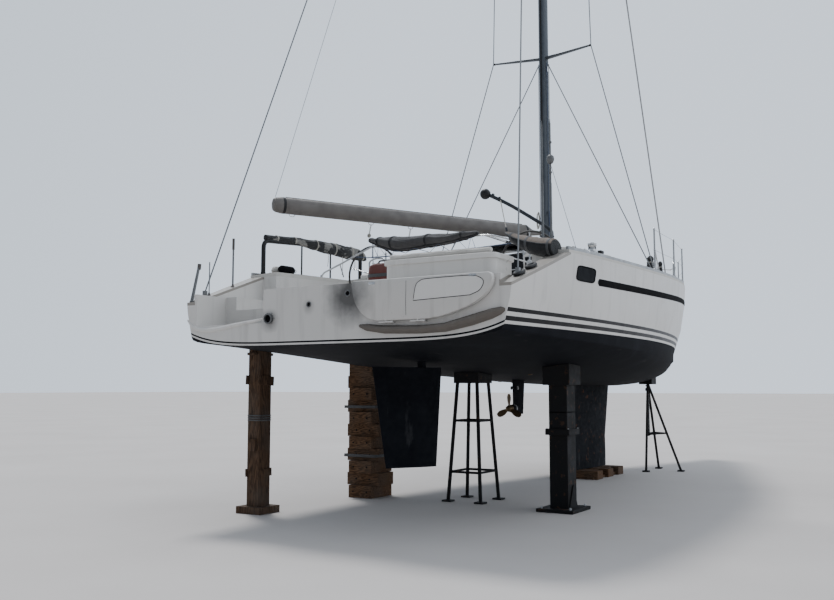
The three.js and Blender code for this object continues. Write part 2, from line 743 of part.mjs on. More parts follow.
// Port quarter rail: the tops of its bar, and the bundle lashed along it
const QUARTER_RAIL = {
  y: 2264,
  radius: 32,
  bar: [[1450, 3690], [2270, 3752], [3400, 3802], [3830, 3786]],
  posts: [2310, 3020],
};
const BUNDLE = [
  { t: 1480, z: 3740, wide: 40, tall: 40 },
  { t: 2270, z: 3784, wide: 50, tall: 62 },
  { t: 2800, z: 3782, wide: 60, tall: 92 },
  { t: 3400, z: 3780, wide: 66, tall: 108 },
  { t: 3740, z: 3782, wide: 64, tall: 102 },
  { t: 3900, z: 3756, wide: 56, tall: 72 },
  { t: 3980, z: 3728, wide: 30, tall: 34 },
];

function quarterRail(swell = 0) {
  const { y, radius, bar, posts } = QUARTER_RAIL;
  const barAt = (t) => {
    const i = bar.findIndex(([station]) => station >= t);
    const [[t0, z0], [t1, z1]] = [bar[i - 1], bar[i]];
    return z0 + ((z1 - z0) * (t - t0)) / (t1 - t0);
  };
  const ends = [bar[0][0], bar[bar.length - 1][0]];
  const path = [[ends[0], 3000], ...bar, [ends[1], 3100]].map(([t, z]) => vec(t, y, z));
  const uprights = posts.map((t) => rod(vec(t, y, 3100), vec(t, y, barAt(t)), 12 + swell));
  return cut(join(bentTube(path, radius + swell), ...uprights), underDeck);
}

const BUNDLE_SIDES = 12;
const sideRoll = cut(
  loft(BUNDLE.map(({ t, z, wide, tall }) =>
    Array.from({ length: BUNDLE_SIDES }, (_, i) => {
      const angle = (2 * Math.PI * i) / BUNDLE_SIDES;
      return vec(t, QUARTER_RAIL.y + wide * Math.cos(angle), z + tall * Math.sin(angle));
    }))),
  quarterRail(SEAT_GAP),
);

// The folded seat on the starboard quarter: sections from its square end to its tip
const SEAT = [
  { y: -2230, t: 1250, z: 3196, long: 168, tall: 104 },
  { y: -2110, t: 1250, z: 3206, long: 170, tall: 112 },
  { y: -1940, t: 1250, z: 3246, long: 166, tall: 100 },
  { y: -1790, t: 1252, z: 3304, long: 150, tall: 78 },
  { y: -1690, t: 1256, z: 3362, long: 118, tall: 52 },
  { y: -1600, t: 1262, z: 3420, long: 58, tall: 22 },
];
const cornerSeat = cut(crossLoft(SEAT), underDeck, solid(surface(hull).translate(0, 0, SEAT_GAP)));

const antennaMast = (y, ringed) => {
  const pole = rod(vec(ANTENNA.t, y, 3170), vec(ANTENNA.t, y, ANTENNA.top), 14);
  return cut(ringed ? join(pole, ball(vec(ANTENNA.t, y, ANTENNA.ball), 46, 12)) : pole, underDeck);
};

// Davit arm: offsets of its bend from the post, aft, inboard and up from the deck
const DAVIT_BEND = [
  [0, 0, 200], [6, 8, 268], [46, 70, 330], [130, 230, 446], [228, 440, 590], [318, 640, 702],
  [342, 700, 726],
];
const davitDeck = hullRow(DAVIT.t).deck + DECK_EDGE;
const davitArm = (() => {
  const path = DAVIT_BEND.map(([aft, inboard, up]) =>
    vec(DAVIT.t - aft, DAVIT.y + inboard, davitDeck + up));
  const foot = vec(DAVIT.t, DAVIT.y, davitDeck + 70 + RUNNING);
  return join(
    rod(foot, path[0], DAVIT.radius, 10),
    ball(path[0], DAVIT.radius, 10),
    curvedTube(path, DAVIT.radius, 18, 10),
    ball(path[path.length - 1], DAVIT.ball, 14),
  );
})();

const davitBase = cut(
  rod(vec(DAVIT.t, DAVIT.y, 3100), vec(DAVIT.t, DAVIT.y, davitDeck + 70), 44, 12),
  underDeck,
);

// Rolled bimini: sections from starboard to port, flat on top and full below
const BIMINI = [
  { y: -770, t: 2170, z: 3644, long: 40, tall: 16 },
  { y: -650, t: 2172, z: 3626, long: 96, tall: 42 },
  { y: -200, t: 2176, z: 3600, long: 140, tall: 76 },
  { y: 430, t: 2182, z: 3592, long: 152, tall: 102 },
  { y: 700, t: 2184, z: 3630, long: 128, tall: 74 },
  { y: 900, t: 2186, z: 3672, long: 78, tall: 34 },
  { y: 960, t: 2188, z: 3684, long: 36, tall: 14 },
];
const BIMINI_LEG = [
  [2430, 1985, 3100], [2430, 1985, 3300], [2330, 1560, 3410], [2210, 900, 3610], [2180, 600, 3600],
];
const biminiTubes = (swell) => {
  const port = BIMINI_LEG.map(([t, y, z]) => vec(t, y, z));
  const starboard = BIMINI_LEG.map(([t, y, z]) => vec(t, -y, z)).reverse();
  return cut(bentTube([...port, ...starboard], 12 + swell), underDeck);
};
const biminiFrame = biminiTubes(0);
const biminiRoll = cut(crossLoft(BIMINI), biminiTubes(SEAT_GAP));

// Rig

function mastTube() {
  const shape = new THREE.Shape();
  shape.absellipse(0, 0, MAST.fore, MAST.side, 0, 2 * Math.PI);
  const geometry = new THREE.ExtrudeGeometry(shape, {
    depth: MAST.head - MAST.foot - SEAT_GAP,
    bevelEnabled: false,
    curveSegments: 9,
  });
  geometry.translate(atX(MAST.t), 0, MAST.foot + SEAT_GAP);
  return solid(geometry);
}

const SHROUD_RADIUS = 9;
const sweep = 120;
const spreaderTip = ({ z, reach }, side) => vec(MAST.t - sweep, side * reach, z + 30);

const mast = join(
  mastTube(),
  ...SPREADERS.flatMap((spreader) =>
    [-1, 1].map((side) =>
      rod(vec(MAST.t, 0, spreader.z), spreaderTip(spreader, side), 34, 8, 18))),
  block(MAST.t - 260, MAST.t + 240, -45, 45, MAST.head - 130, MAST.head - 30),
  block(BOOM.t + 42, MAST.t - MAST.fore + 20, -30, 30, BOOM.z - 52, BOOM.z + 52),
  ...[-1, 1].map((side) => {
    const [a, b] = [side * (GOOSENECK + RUNNING), side * (GOOSENECK + 20)].sort((p, q) => p - q);
    return block(BOOM.t - 28, BOOM.t + 60, -30, 30, BOOM.z + a, BOOM.z + b);
  }),
);

function shrouds(side) {
  const foot = vec(CHAINPLATE.t, side * CHAINPLATE.y, hullRow(CHAINPLATE.t).deck + 20);
  const outward = SHROUD_RADIUS + SEAT_GAP + 12;
  const tips = SPREADERS.map((spreader) => {
    const tip = spreaderTip(spreader, side);
    return tip.add(new THREE.Vector3(-4, side * outward, 0));
  });
  const head = vec(MAST.t, side * (MAST.side + SHROUD_RADIUS + 4), MAST.head - 250);
  const lower = vec(MAST.t - 20, side * (MAST.side + SHROUD_RADIUS + 4), SPREADERS[0].z - 120);
  const plate = block(CHAINPLATE.t - 30, CHAINPLATE.t + 30, side * CHAINPLATE.y - 12,
    side * CHAINPLATE.y + 12, 3250, foot.z + 60);
  const cap = bentTube([foot, ...tips, head], SHROUD_RADIUS, 6);
  return cut(join(cap, rod(foot, lower, SHROUD_RADIUS, 6), plate), underDeck);
}

const backstay = (side) => {
  const head = vec(MAST.t - 250, side * 14, MAST.head - 142);
  const wingTop = slab(
    [
      [-200, 2500], [0, WING_AFT_Z + SEAT_GAP], [DECK_AFT, WING_FORE_Z + SEAT_GAP],
      [DECK_AFT, 2300], [-200, 2300],
    ],
    -3000, 3000,
  );
  const y = side * BACKSTAY.y;
  const lug = cut(block(BACKSTAY.t - 24, BACKSTAY.t + 26, y - 20, y + 20, 2600, 2865), wingTop);
  return join(rod(vec(BACKSTAY.t, y, 2845), head, SHROUD_RADIUS, 6), lug);
};

const forestayAxis = {
  foot: vec(FORESTAY.t, 0, FORESTAY.z),
  head: vec(MAST.t + 235, 0, MAST.head - 145),
};
const forestayDirection = new THREE.Vector3()
  .subVectors(forestayAxis.head, forestayAxis.foot)
  .normalize();
const alongForestay = (distance) =>
  forestayAxis.foot.clone().addScaledVector(forestayDirection, distance);
const forestayLength = forestayAxis.head.distanceTo(forestayAxis.foot);

const furler = join(
  rod(alongForestay(70), alongForestay(forestayLength - 30), 17, 8),
  rod(alongForestay(48 + RUNNING), alongForestay(60), 30, 12),
  rod(alongForestay(60), alongForestay(76), 105, 16),
  rod(alongForestay(76), alongForestay(150), 40, 12),
  rod(alongForestay(150), alongForestay(166), 105, 16),
);

const stemHead = cut(
  join(
    block(13350, 14120, -55, 55, 3800, 3950),
    rod(alongForestay(-90), alongForestay(48), 20, 8),
    rod(vec(14070, -70, 3925), vec(14070, 70, 3925), 50, 12),
  ),
  underDeck,
  block(13700, 14300, -200, 200, 3600, STEM.z + DECK_EDGE + 12),
);

const boomBody = (() => {
  const sideCount = 14;
  const ring = (distance, wide, tall) => {
    const points = [];
    for (let i = 0; i < sideCount; i += 1) {
      const angle = (2 * Math.PI * i) / sideCount;
      points.push(new THREE.Vector3(-distance, wide * Math.cos(angle), tall * Math.sin(angle)));
    }
    return points;
  };
  const taper = [
    [BOOM.length, 40, 60], [BOOM.length - 40, 80, 105], [BOOM.length - 120, BOOM.wide, BOOM.tall],
    [380, BOOM.wide, BOOM.tall], [200, 34, 52], [12, 26, 30],
  ];
  const spar = loft(taper.map(([distance, wide, tall]) => ring(distance, wide, tall)));
  const local = (aft, up) => new THREE.Vector3(-aft, 0, up);
  const vang = rod(local(40, -BOOM.vang), local(1350, 25 - BOOM.tall), 24, 8);
  const nose = rod(local(0, -GOOSENECK), local(0, GOOSENECK), 30, 12);
  const geometry = surface(join(spar, nose, vang));
  geometry.rotateZ(THREE.MathUtils.degToRad(-BOOM.swing));
  geometry.translate(atX(BOOM.t), 0, BOOM.z);
  return geometry;
})();

// Underwater gear

const keel = cut(
  solid(
    foilBlade([
      { z: KEEL_FOOT_Z, aft: atX(7180), chord: 1700, thick: 250 },
      { z: 420, aft: atX(7160), chord: 1740, thick: 240 },
      { z: 700, aft: atX(7120), chord: 1800, thick: 200 },
      { z: 1900, aft: atX(6900), chord: 2300, thick: 270 },
    ]),
  ),
  hullSeat,
);

const rudder = (() => {
  const blade = solid(
    foilBlade([
      { z: RUDDER.tip, aft: -520, chord: 740, thick: 90 },
      { z: RUDDER.top, aft: -720, chord: 1020, thick: 150 },
    ]),
  );
  const height = (z) => new THREE.Vector3(0, 0, z);
  const stock = rod(height(RUDDER.top - 30), height(RUDDER.head - RUNNING), RUDDER.stock, 16);
  const geometry = surface(join(blade, stock));
  geometry.rotateZ(THREE.MathUtils.degToRad(-RUDDER.turn));
  geometry.translate(atX(RUDDER.t), 0, 0);
  return geometry;
})();

const driveLeg = cut(
  join(
    solid(
      foilBlade([
        { z: DRIVE.shaft - 90, aft: atX(DRIVE.t - 150), chord: 330, thick: 90 },
        { z: 1850, aft: atX(DRIVE.t - 170), chord: 400, thick: 130 },
      ]),
    ),
    rod(vec(DRIVE.t - 230, 0, DRIVE.shaft), vec(DRIVE.t + 200, 0, DRIVE.shaft), 62, 12, 20),
  ),
  hullSeat,
);

const propeller = (() => {
  const along = (aft) => vec(DRIVE.t - aft, 0, DRIVE.shaft);
  const hub = rod(along(360), along(230 + RUNNING), 30, 12, 55);
  const blades = [0, 1, 2].map((i) => {
    const geometry = roundedPlate(26, 120, PROP_RADIUS - 30, 12, 2);
    geometry.rotateZ(THREE.MathUtils.degToRad(35));
    geometry.translate(0, 0, 30);
    geometry.rotateX((2 * Math.PI * i) / 3);
    geometry.translate(atX(DRIVE.t - 300), 0, DRIVE.shaft);
    return solid(geometry);
  });
  return join(hub, ...blades);
})();

// Blocks, shores and stands

const keelBlocks = join(
  ...[7440, 8000, 8560].map((t) => block(t - 140, t + 140, -450, 450, 0, KEEL_FOOT_Z - SEAT_GAP)),
  ...[-330, 330].map((y) => block(7250, 8750, y - 60, y + 60, 0, 45)),
);

function timberPile(t, y, wide) {
  const layers = [];
  let z = 0;
  for (let i = 0; z < 1900; i += 1) {
    const [long, broad] = i % 2 ? [wide * 0.72, wide] : [wide, wide * 0.72];
    layers.push(block(t - long / 2, t + long / 2, y - broad / 2, y + broad / 2, z, z + 182));
    z += 180;
  }
  layers.push(block(t - wide * 0.3, t + wide * 0.3, y - wide * 0.3, y + wide * 0.3, z - 20, 2350));
  return cut(join(...layers), hullSeat);
}

function timberProp(t, y) {
  return cut(
    join(
      block(t - 200, t + 200, y - 200, y + 200, 0, 90),
      block(t - 110, t + 110, y - 100, y + 100, 80, 2350),
      block(t - 150, t + 150, y - 60, y + 60, 800, 960),
    ),
    hullSeat,
  );
}

function steelColumn(t, y) {
  return cut(
    join(
      block(t - 320, t + 320, y - 260, y + 260, 0, 45),
      block(t - 150, t + 150, y - 130, y + 130, 40, 1700),
      block(t - 190, t + 190, y - 170, y + 170, 1000, 1080),
      block(t - 210, t + 210, y - 190, y + 190, 1660, 2200),
    ),
    hullSeat,
  );
}

function frameStand(t, y) {
  const parts = [];
  for (const i of [-1, 1]) {
    for (const j of [-1, 1]) {
      parts.push(rod(vec(t + i * 290, y + j * 260, 12), vec(t + i * 170, y + j * 150, 1850), 27));
      parts.push(block(t + i * 290 - 70, t + i * 290 + 70, y + j * 260 - 70, y + j * 260 + 70, 0, 24));
    }
  }
  for (const z of [420, 1150]) {
    const spread = 1 - (0.41 * z) / 1850;
    const [a, b] = [290 * spread, 260 * spread];
    const corners = [[-a, -b], [a, -b], [a, b], [-a, b]].map(([i, j]) => vec(t + i, y + j, z));
    corners.forEach((corner, i) => parts.push(rod(corner, corners[(i + 1) % 4], 17, 6)));
  }
  parts.push(block(t - 220, t + 220, y - 200, y + 200, 1690, 2400));
  return cut(join(...parts), hullSeat);
}

function tripodStand(t, y) {
  const side = Math.sign(y);
  const head = vec(t, y, 1720);
  const feet = [
    vec(t - 420, y + side * 60, 14),
    vec(t + 420, y + side * 60, 14),
    vec(t, y + side * 620, 14),
  ];
  const parts = [rod(vec(t, y, 700), vec(t, y, 2000), 26)];
  feet.forEach((foot, i) => {
    parts.push(rod(foot, head, 24, 8));
    const station = foot.x + KEEL_STATION;
    parts.push(block(station - 60, station + 60, foot.y - 60, foot.y + 60, 0, 28));
    const next = feet[(i + 1) % 3];
    parts.push(rod(foot.clone().lerp(head, 0.42), next.clone().lerp(head, 0.42), 15, 6));
  });
  parts.push(rod(vec(t, y, 700), feet[2].clone().lerp(head, 0.42), 15, 6));
  parts.push(block(t - 150, t + 150, y - 130, y + 130, 1690, 2500));
  return cut(join(...parts), hullSeat);
}

// Materials

const paint = (color, roughness, metalness = 0) =>
  new THREE.MeshStandardMaterial({ color, roughness, metalness });
const GELCOAT = paint(0xdcd8d0, 0.35);
const DECK_PAINT = paint(0xd3d0c8, 0.7);
const ANTIFOUL = paint(0x1a1d22, 0.85);
const SPAR = paint(0x3a424a, 0.45, 0.6);
const BOOM_PAINT = paint(0x9d968c, 0.6, 0.2);
const STEEL = paint(0xb9bcbe, 0.25, 1);
const WIRE = paint(0x8d9194, 0.35, 1);
const BLACK_METAL = paint(0x1b1c1e, 0.5, 0.6);
const DAVIT_PAINT = paint(0x39434d, 0.45, 0.5);
const SMOKED = paint(0x14171a, 0.1);
const CLOTH = paint(0x202225, 0.9);
const CANVAS = paint(0xc9c5bc, 0.85);
const TIMBER = paint(0x6f5037, 0.9);
const BRONZE = paint(0x8a6a3c, 0.4, 0.9);

const yacht = new THREE.Group();
yacht.name = 'sailing_yacht';

function add(name, shape, material) {
  const geometry = shape.isBufferGeometry ? shape : surface(shape);
  geometry.computeVertexNormals();
  const mesh = new THREE.Mesh(geometry, material);
  mesh.name = name;
  yacht.add(mesh);
}

const hullFittings = [...transomHinges.fixed, ...lidHinges(1).fixed, ...lidHinges(-1).fixed];
add('hull', join(hull, ...hullFittings), GELCOAT);
add('deck', deck, DECK_PAINT);
add('coachroof', coachroof, GELCOAT);
add('coachroof_glass_port', roofGlass(1), SMOKED);
add('coachroof_glass_stbd', roofGlass(-1), SMOKED);
add('companion_slide', companionSlide, SMOKED);
add('companion_door', companionDoor, SMOKED);
add('companion_steps', ladder, TIMBER);
add('mast_post', mastPost, STEEL);
add('fore_hatch_coaming', foreCoaming, STEEL);
add('fore_hatch', foreHatch, SMOKED);
add('coachroof_hatch', roofHatch, SMOKED);
for (const [name, side] of [['port', 1], ['stbd', -1]]) {
  add(`coaming_${name}`, coaming(side), GELCOAT);
  add(`winch_${name}`, winch(side), STEEL);
  add(`helm_pedestal_${name}`, helmPedestal(side), GELCOAT);
  add(`helm_wheel_${name}`, helmWheel(side), STEEL);
  add(`locker_lid_${name}`, lockerLid(side), DECK_PAINT);
  add(`toe_rail_${name}`, toeRail(side), STEEL);
  add(`shrouds_${name}`, shrouds(side), WIRE);
  add(`backstay_${name}`, backstay(side), WIRE);
}
add('helm_bench_stbd', helmBench, GELCOAT);
add('transom_door', transomDoor, GELCOAT);
add('transom_step', transomStep, DECK_PAINT);
add('exhaust_outlet', exhaust, STEEL);
add('pulpit', pulpit, STEEL);
add('pushpit_port', quarterRail(), BLACK_METAL);
add('rail_roll_port', sideRoll, CLOTH);
add('corner_seat', cornerSeat, CLOTH);
add('antenna_pole_aft', antennaMast(ANTENNA.aftY, false), BLACK_METAL);
add('antenna_pole_fore', antennaMast(ANTENNA.foreY, true), BLACK_METAL);
add('davit', davitArm, DAVIT_PAINT);
add('davit_base', davitBase, DAVIT_PAINT);
add('bimini_roll', biminiRoll, CANVAS);
add('bimini_frame', biminiFrame, STEEL);
add('mast', mast, SPAR);
add('boom', boomBody, BOOM_PAINT);
add('headsail_furler', furler, WIRE);
add('stem_head', stemHead, STEEL);
add('keel', keel, ANTIFOUL);
add('rudder', rudder, ANTIFOUL);
add('saildrive_leg', driveLeg, ANTIFOUL);
add('propeller', propeller, BRONZE);
add('keel_blocks', keelBlocks, TIMBER);
add('timber_prop_port', timberProp(1000, 1900), TIMBER);
add('timber_pile_port', timberPile(3250, 1650, 560), TIMBER);
add('steel_column_stbd', steelColumn(3250, -1450), BLACK_METAL);
add('frame_stand_aft', frameStand(3600, 80), BLACK_METAL);
add('tripod_stbd', tripodStand(9700, -650), BLACK_METAL);
add('tripod_port', tripodStand(9700, 650), BLACK_METAL);

export default yacht;
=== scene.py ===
"""Looks of a wide-sterned sailing yacht laid up ashore on keel blocks, shores and stands.

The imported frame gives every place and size. Lengths are metres in the frame's own axes:
X forward, Y to port, Z up, with the origin on the ground under the middle keel block.
Stations count forward from the lower edge of the transom, 8 m aft of that origin.
"""

import json
import logging
import math
from dataclasses import dataclass
from enum import Enum
from typing import Sequence

import bmesh
import bpy
from mathutils import Matrix, Vector

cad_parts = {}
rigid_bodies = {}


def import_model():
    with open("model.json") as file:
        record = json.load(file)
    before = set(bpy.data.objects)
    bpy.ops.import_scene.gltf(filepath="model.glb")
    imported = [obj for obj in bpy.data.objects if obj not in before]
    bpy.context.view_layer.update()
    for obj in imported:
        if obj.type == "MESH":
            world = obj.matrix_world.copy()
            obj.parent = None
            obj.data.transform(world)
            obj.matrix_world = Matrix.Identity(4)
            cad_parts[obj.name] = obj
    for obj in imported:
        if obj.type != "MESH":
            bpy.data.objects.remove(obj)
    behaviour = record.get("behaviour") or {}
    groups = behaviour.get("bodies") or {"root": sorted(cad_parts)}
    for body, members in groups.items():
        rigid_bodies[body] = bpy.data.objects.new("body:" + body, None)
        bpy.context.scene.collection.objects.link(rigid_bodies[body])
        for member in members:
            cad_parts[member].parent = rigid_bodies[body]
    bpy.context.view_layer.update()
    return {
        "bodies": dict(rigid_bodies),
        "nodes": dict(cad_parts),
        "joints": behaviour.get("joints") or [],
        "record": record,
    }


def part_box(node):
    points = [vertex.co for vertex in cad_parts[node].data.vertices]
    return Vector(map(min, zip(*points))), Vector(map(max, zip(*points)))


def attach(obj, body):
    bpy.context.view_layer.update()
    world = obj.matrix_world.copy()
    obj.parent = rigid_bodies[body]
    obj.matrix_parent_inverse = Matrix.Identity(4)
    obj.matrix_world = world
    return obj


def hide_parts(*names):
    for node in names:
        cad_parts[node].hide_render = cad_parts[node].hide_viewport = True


log = logging.getLogger("yacht")
Colour = tuple[float, float, float]
Socket = bpy.types.NodeSocket
Section = Sequence[float]
Points = Sequence[Section]
Mesh = bpy.types.Mesh
Node = bpy.types.Node

KEEL_STATION = 8.0
WATERLINE_Z = 2.25
WING_Z = 2.69
WING_SLOPE = 0.3538
DECK_EDGE = 0.035
BOTH = ((1, "port"), (-1, "stbd"))


def at(station: float, y: float, z: float) -> Vector:
    """Returns the frame's point for a station, a side distance and a height."""
    return Vector((station - KEEL_STATION, y, z))


def wing(station: float) -> float:
    """Returns the height of the transom wings' edge at a station."""
    return WING_Z + WING_SLOPE * station


def show(name: str, data: object) -> bpy.types.Object:
    """Returns a new object of the scene."""
    made = bpy.data.objects.new(name, data)
    bpy.context.scene.collection.objects.link(made)
    return made


class Slot(Enum):
    """Material slots of the record."""

    GELCOAT = "gelcoat"
    DECK = "deck_paint"
    ANTIFOUL = "antifoul"
    KEEL = "keel_iron"
    SPAR = "spar"
    BOOM = "boom_paint"
    STEEL = "steel"
    WIRE = "wire"
    BLACK = "black_metal"
    DAVIT = "davit_paint"
    SMOKED = "smoked"
    CLOTH = "cloth"
    CANVAS = "canvas"
    TIMBER = "timber"
    BRONZE = "bronze"


# Finishes


class Wires:
    """A node tree, with short calls for its nodes."""

    def __init__(self, tree: bpy.types.NodeTree) -> None:
        """Args: tree: the tree."""
        self.tree, self.nodes = tree, tree.nodes

    def node(self, kind: str, inputs: dict | None = None, **settings: object) -> Node:
        """Adds a node.

        Args:
            kind: the node's type.
            inputs: a value or a socket for each input, by name or number.
            settings: attributes of the node.

        Returns:
            The node.
        """
        node = self.nodes.new(kind)
        for key, value in settings.items():
            setattr(node, key, value)
        for key, value in (inputs or {}).items():
            self.feed(node.inputs[key], value)
        return node

    def feed(self, target: Socket, value: object) -> None:
        """Links a socket to an input, or sets the input's own value."""
        if isinstance(value, bpy.types.NodeSocket):
            self.tree.links.new(value, target)
        elif isinstance(value, tuple) and len(value) == 3 and target.type == "RGBA":
            target.default_value = (*value, 1.0)
        else:
            target.default_value = value

    def math(self, operation: str, a: object, b: object = 0.0) -> Socket:
        """Returns the result of a Math node."""
        return self.node("ShaderNodeMath", {0: a, 1: b}, operation=operation).outputs[0]

    def times(self, a: object, b: object) -> Socket:
        """Returns a product."""
        return self.math("MULTIPLY", a, b)


class Graph(Wires):
    """A material's node tree, with short calls for what the finishes share."""

    def __init__(self, name: str) -> None:
        """Args: name: the material's name."""
        self.material = bpy.data.materials.new(name)
        self.material.use_nodes = True
        super().__init__(self.material.node_tree)
        self.shader = self.nodes["Principled BSDF"]
        self.coords = self.nodes.new("ShaderNodeTexCoord")
        self.place = self.coords.outputs["Object"]

    def add(self, kind: str, inputs: dict | None = None, **settings: object) -> Node:
        """Adds a shader node, whose kind is its type without the ShaderNode prefix."""
        return self.node("ShaderNode" + kind, inputs, **settings)

    def scaled(self, scale: Sequence[float], turn: Sequence[float] = (0, 0, 0)) -> Socket:
        """Returns the object coordinates, stretched and turned."""
        node = self.add("Mapping", {"Vector": self.place, "Scale": tuple(scale), "Rotation": tuple(turn)})
        return node.outputs["Vector"]

    def axis(self, name: str) -> Socket:
        """Returns one object coordinate, X, Y or Z, in metres."""
        return self.add("SeparateXYZ", {0: self.place}).outputs[name]

    def noise(self, scale: float, detail: float = 4, stretch: Sequence[float] = (1, 1, 1),
              rough: float = 0.55) -> Socket:
        """Returns a noise value between 0 and 1."""
        inputs = {"Vector": self.scaled(stretch), "Scale": scale, "Detail": detail, "Roughness": rough}
        return self.add("TexNoise", inputs).outputs["Fac"]

    def band(self, value: Socket, low: object, high: object) -> Socket:
        """Returns 1 where a value lies between two limits, or else 0."""
        return self.times(self.math("GREATER_THAN", value, low), self.math("LESS_THAN", value, high))

    def spread(self, value: Socket, low: float, high: float, to_low: float = 0.0, to_high: float = 1.0) -> Socket:
        """Returns a value moved from one range to another, and held inside it."""
        inputs = {"Value": value, 1: low, 2: high, 3: to_low, 4: to_high}
        return self.add("MapRange", inputs).outputs["Result"]

    def mix(self, factor: object, a: object, b: object) -> Socket:
        """Returns a mix of two colours."""
        node = self.add("Mix", {"Factor": factor}, data_type="RGBA")
        self.feed(node.inputs[6], a)
        self.feed(node.inputs[7], b)
        return node.outputs[2]

    def bump(self, height: Socket, distance: float, strength: float = 1.0) -> None:
        """Feeds a height to the shader's normal, on top of any bump there already."""
        node = self.add("Bump", {"Height": height, "Distance": distance, "Strength": strength})
        links = self.shader.inputs["Normal"].links
        if links:
            self.feed(node.inputs["Normal"], links[0].from_socket)
        self.feed(self.shader.inputs["Normal"], node.outputs["Normal"])

    def set(self, **values: object) -> None:
        """Sets or links the shader's inputs, named with underscores for spaces."""
        for key, value in values.items():
            self.feed(self.shader.inputs[key.replace("_", " ")], value)


@dataclass(frozen=True)
class Finish:
    """A surface finish: one colour family with its soil, gloss and relief."""

    name: str
    slot: Slot
    base: Colour
    soil: Colour
    rough: float = 0.5
    metal: float = 0.0
    coat: float = 0.0
    shine: float = 0.5

    def build(self) -> bpy.types.Material:
        """Returns the finish's material, made once."""
        made = bpy.data.materials.get(self.name)
        if made:
            return made
        graph = Graph(self.name)
        graph.set(Metallic=self.metal, Coat_Weight=self.coat, Specular_IOR_Level=self.shine)
        self.dress(graph)
        return graph.material

    def dress(self, graph: Graph) -> None:
        """Colours the surface with faint clouds and soil, and varies its gloss."""
        clouds = graph.spread(graph.noise(1.3, 5), 0.35, 0.75)
        colour = graph.mix(graph.times(clouds, 0.35), self.base, self.soil)
        graph.set(Base_Color=colour)
        graph.set(Roughness=graph.spread(graph.noise(9, 4), 0.2, 0.8, self.rough - 0.08, self.rough + 0.1))
        graph.bump(graph.noise(60, 3), 0.0006)


@dataclass(frozen=True)
class Gelcoat(Finish):
    """Chalky moulded gloss with rain streaks and a soft orange-peel ripple."""

    streaks: float = 0.35

    @staticmethod
    def sooted_and_shaded(graph: Graph, colour: Socket) -> Socket:
        """Returns the colour with smoke stains round the transom's outlet and under the exhaust, and painted shade over
        the door's port end.
        """
        x, y, z = (graph.axis(name) for name in "XYZ")
        cloud = graph.noise(7, 5)
        # The first spot, at the outlet, is a smoke stain and also painted shade over the door's port end; the others
        # are smoke stains under the exhaust and the small outlet.
        for side, height, reach, depth in ((-0.25, 2.645, 0.4, 0.92), (0.9, 2.41, 0.16, 0.6), (0.32, 2.55, 0.1, 0.4)):
            across = graph.math("POWER", graph.math("SUBTRACT", y, side), 2.0)
            up = graph.math("POWER", graph.math("SUBTRACT", z, height), 2.0)
            away = graph.math("SQRT", graph.math("ADD", across, up))
            ragged = graph.math("ADD", away, graph.times(graph.math("SUBTRACT", cloud, 0.5), 0.5 * reach))
            soot_and_shade = graph.times(graph.spread(ragged, 0.25 * reach, reach, depth, 0.0),
                              graph.math("LESS_THAN", x, 0.06 - KEEL_STATION))
            colour = graph.mix(soot_and_shade, colour, (0.045, 0.043, 0.042))
        return colour

    def shell(self, graph: Graph) -> Socket:
        """Returns the gelcoat's colour with its streaks."""
        clouds = graph.spread(graph.noise(0.7, 6), 0.3, 0.75)
        base = graph.mix(graph.times(clouds, 0.3), self.base, self.soil)
        runs = graph.spread(graph.noise(3.2, 6, (2.4, 2.4, 0.22)), 0.53, 0.8)
        specks = graph.spread(graph.noise(38, 2), 0.68, 0.8)
        dirt = graph.math("MAXIMUM", graph.times(runs, self.streaks), graph.times(specks, 0.3))
        return graph.mix(dirt, base, tuple(0.55 * c for c in self.soil))

    def dress(self, graph: Graph) -> None:
        """Colours the moulding, and gives it its gloss and ripple."""
        graph.set(Base_Color=self.sooted_and_shaded(graph, self.shell(graph)))
        graph.set(Roughness=graph.spread(graph.noise(5, 5), 0.25, 0.75, self.rough - 0.07, self.rough + 0.14))
        graph.bump(graph.noise(26, 2), 0.0008, 0.6)


